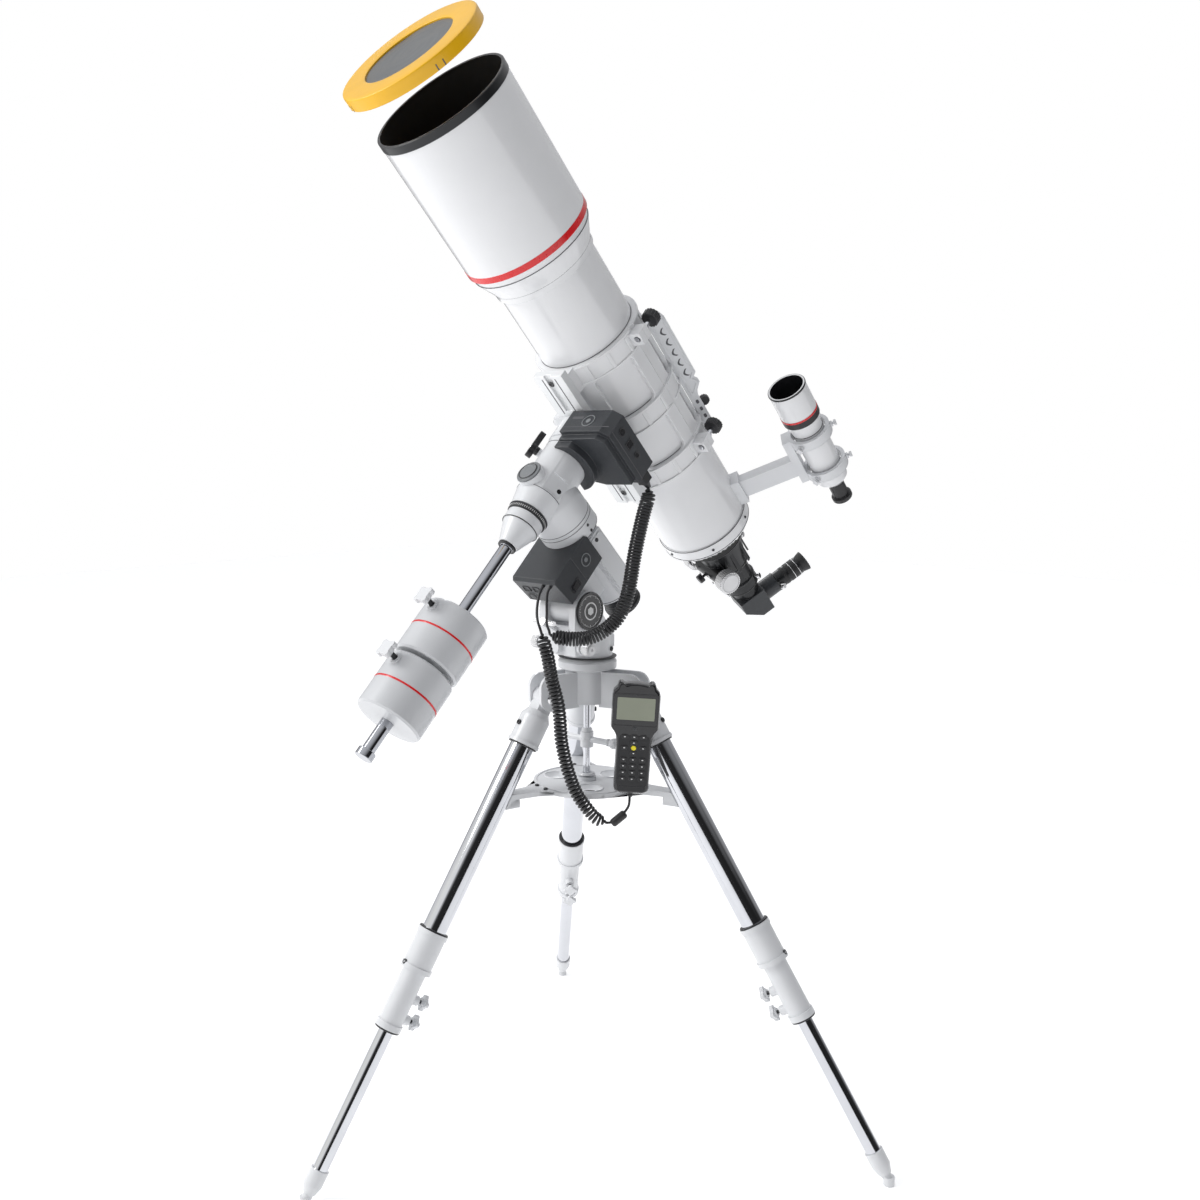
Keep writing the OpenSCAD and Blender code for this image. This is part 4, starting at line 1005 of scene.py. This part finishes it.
# ---------- handset ----------
FACE = turn("X", 90)                         # drawn with x across, y up the handset, z towards the reader
def stack(outlines):
    """A body through outlines at several depths, given as (depth, outline)."""
    bm = bmesh.new()
    rows = [[bm.verts.new(FACE @ Vector((x, y, d))) for x, y in o] for d, o in outlines]
    for a, b in zip(rows, rows[1:]):
        for k in range(len(a)):
            j = (k + 1) % len(a)
            bm.faces.new((a[k], a[j], b[j], b[k]))
    bm.faces.new(list(reversed(rows[0])))
    bm.faces.new(rows[-1])
    return bm


def shell(inset):
    right = [(0, -89), (20, -89), (26, -86), (28, -80), (28, -10), (29, 4), (33, 12), (38, 18), (38, 70),
             (36, 77), (31, 82)]
    horn = [(29.5, 88), (27, 90.6), (23, 90.6), (20, 87.5), (12, 89.2), (0, 90)]
    half = [(x - inset * (1 if x > 2 else 0), y + inset * (1 if y < 0 else -1)) for x, y in right + horn]
    return half + [(-x, y) for x, y in reversed(half[1:-1])]


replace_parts(solid("handset_shell", stack([(-14, shell(2.5)), (-11, shell(0)), (9, shell(0)), (13, shell(1.6)),
                                          (14, shell(3.4))]),
                  GLOSS_BLACK, HANDSET, "handset", 0.8), "handset")
bm = bmesh.new()
lathe(bm, [(0.01, -97.5), (3.6, -97.5), (5.2, -94), (4.6, -93), (6, -90.5), (6.6, -88), (0.01, -88)], 32,
      closed=False)
solid("handset_relief", bm, RUBBER, HANDSET, "handset", 0.3)
bm = bmesh.new()
port(bm, 69, 50, 4, FACE @ at_mm(0, 47, 13.8), 0.9)
solid("screen_bezel", bm, GLOSS_BLACK, HANDSET, "handset", 0.3)
bm = bmesh.new()
prism(bm, rounded(68, 49, 3.5), 13.4, 14.3, FACE @ at_mm(0, 47, 0))
solid("screen_window", bm, GLOSS_BLACK, HANDSET, "handset", 0.1)
bm = bmesh.new()
prism(bm, rounded(60, 36, 1.2), 14.2, 14.6, FACE @ at_mm(0, 49, 0))
solid("screen", bm, SCREEN, HANDSET, "handset", 0.1)
bm = bmesh.new()
prism(bm, rounded(50, 84, 7), 13.4, 14.5, FACE @ at_mm(0, -36, 0))
prism(bm, rounded(44, 9, 2), 13.4, 14.8, FACE @ at_mm(0, -81, 0))
solid("keypad_panel", bm, BLACK, HANDSET, "handset", 0.4)
keys, marks = bmesh.new(), bmesh.new()
spots = [(x, 4) for x in (-15, 0, 15)] + [(-15, -14), (15, -14), (0, -5.5), (0, -22.5)]
spots += [(x, -33 - 10.5 * row) for row in range(4) for x in (-15, 0, 15)]
for x, y in spots:
    prism(keys, rounded(10.6, 7, 3, cx=x, cy=y), 14, 16.2, FACE)
    prism(marks, rounded(2.6, 1.5, 0.5, cx=x, cy=y), 16.2, 16.4, FACE)
solid("keys", keys, RUBBER, HANDSET, "handset", 0.5)
solid("key_marks", marks, WHITE_MARK, HANDSET, "handset", 0)
bm = bmesh.new()
disc(bm, 4.2, 14, 16.6, 40, FACE @ at_mm(0, -14, 0), top=3.6)
solid("centre_key", bm, BUTTON, HANDSET, "handset", 0.4)
bm = bmesh.new()
lathe(bm, [(5, 14), (6, 14), (5.8, 15), (5.2, 15)], 40, at=FACE @ at_mm(0, -14, 0))
ring_badge(bm, 3, FACE @ at_mm(0, 17, 14))
solid("handset_rings", bm, GRAPHITE, HANDSET, "handset", 0.1)

# ---------- floor and light ----------
bm = bmesh.new()
bmesh.ops.create_grid(bm, x_segments=2, y_segments=2, size=9)
floor_mesh = bpy.data.meshes.new("floor")
bm.to_mesh(floor_mesh)
floor = bpy.data.objects.new("floor", floor_mesh)
bpy.context.collection.objects.link(floor)
floor.data.materials.append(finish("floor_paper", (0.90, 0.90, 0.905), 0.8, grain=300, depth=0.02,
                                   vary=0.004))
floor_look = floor.data.materials[0].node_tree.nodes["Principled BSDF"]
floor_look.inputs["Emission Color"].default_value = (1, 1, 1, 1)
floor_look.inputs["Emission Strength"].default_value = 0.35

world = bpy.data.worlds.new("studio")
bpy.context.scene.world = world
world.use_nodes = True
wn, wl = world.node_tree.nodes, world.node_tree.links.new
background = wn["Background"]
bpy.context.scene.view_settings.view_transform = "Standard"
where = wn.new("ShaderNodeTexCoord")


def along(direction):
    dot = wn.new("ShaderNodeVectorMath")
    dot.operation = "DOT_PRODUCT"
    dot.inputs[1].default_value = direction
    wl(where.outputs["Generated"], dot.inputs[0])
    return dot.outputs["Value"]


# a white studio with a dark side to the camera's right, which the polished steel reflects
angle = wn.new("ShaderNodeMath")
angle.operation = "ARCTAN2"
wl(along((0.7058, 0.7084, 0)), angle.inputs[0])
wl(along((0.7084, -0.7058, 0)), angle.inputs[1])
whole = wn.new("ShaderNodeMapRange")
whole.inputs["From Min"].default_value = -math.pi
whole.inputs["From Max"].default_value = math.pi
wl(angle.outputs[0], whole.inputs["Value"])
room = wn.new("ShaderNodeValToRGB")
room.color_ramp.elements[0].position = 0.0
room.color_ramp.elements[0].color = (0.25, 0.25, 0.26, 1)
room.color_ramp.elements[1].position = 1.0
room.color_ramp.elements[1].color = (0.55, 0.55, 0.57, 1)
for at, shade in ((0.10, 0.20), (0.14, 0.80), (0.28, 1.05), (0.38, 1.0), (0.41, 0.30), (0.44, 0.03),
                  (0.60, 0.02),
                  (0.72, 0.03), (0.78, 0.30), (0.90, 0.45)):
    stop = room.color_ramp.elements.new(at)
    stop.color = (shade, shade, min(1, shade * 1.02), 1)
wl(whole.outputs["Result"], room.inputs["Fac"])
above = wn.new("ShaderNodeMapRange")
above.inputs["From Min"].default_value = 0.35
above.inputs["From Max"].default_value = 0.9
wl(along((0, 0, 1)), above.inputs["Value"])
sky = wn.new("ShaderNodeMix")
sky.data_type = "RGBA"
sky.inputs["B"].default_value = (0.95, 0.96, 0.98, 1)
wl(above.outputs["Result"], sky.inputs["Factor"])
wl(room.outputs["Color"], sky.inputs["A"])
seen = wn.new("ShaderNodeLightPath")
pick = wn.new("ShaderNodeMix")
pick.data_type = "RGBA"
pick.inputs["B"].default_value = (1, 1, 1, 1)
wl(seen.outputs["Is Camera Ray"], pick.inputs["Factor"])
wl(sky.outputs["Result"], pick.inputs["A"])
wl(pick.outputs["Result"], background.inputs["Color"])


def lamp(name, at, target, size, power, height=None):
    data = bpy.data.lights.new(name, "AREA")
    data.size = size
    if height:
        data.shape = "RECTANGLE"
        data.size_y = height
    data.energy = power
    o = bpy.data.objects.new(name, data)
    bpy.context.collection.objects.link(o)
    o.location = at
    o.rotation_euler = (Vector(target) - Vector(at)).to_track_quat("-Z", "Y").to_euler()


lamp("key", (-1.6, -2.4, 2.8), (0, 0, 0.9), 1.4, 54)
lamp("back", (-2.2, 1.4, 2.6), (0, 0, 1.0), 1.0, 14)
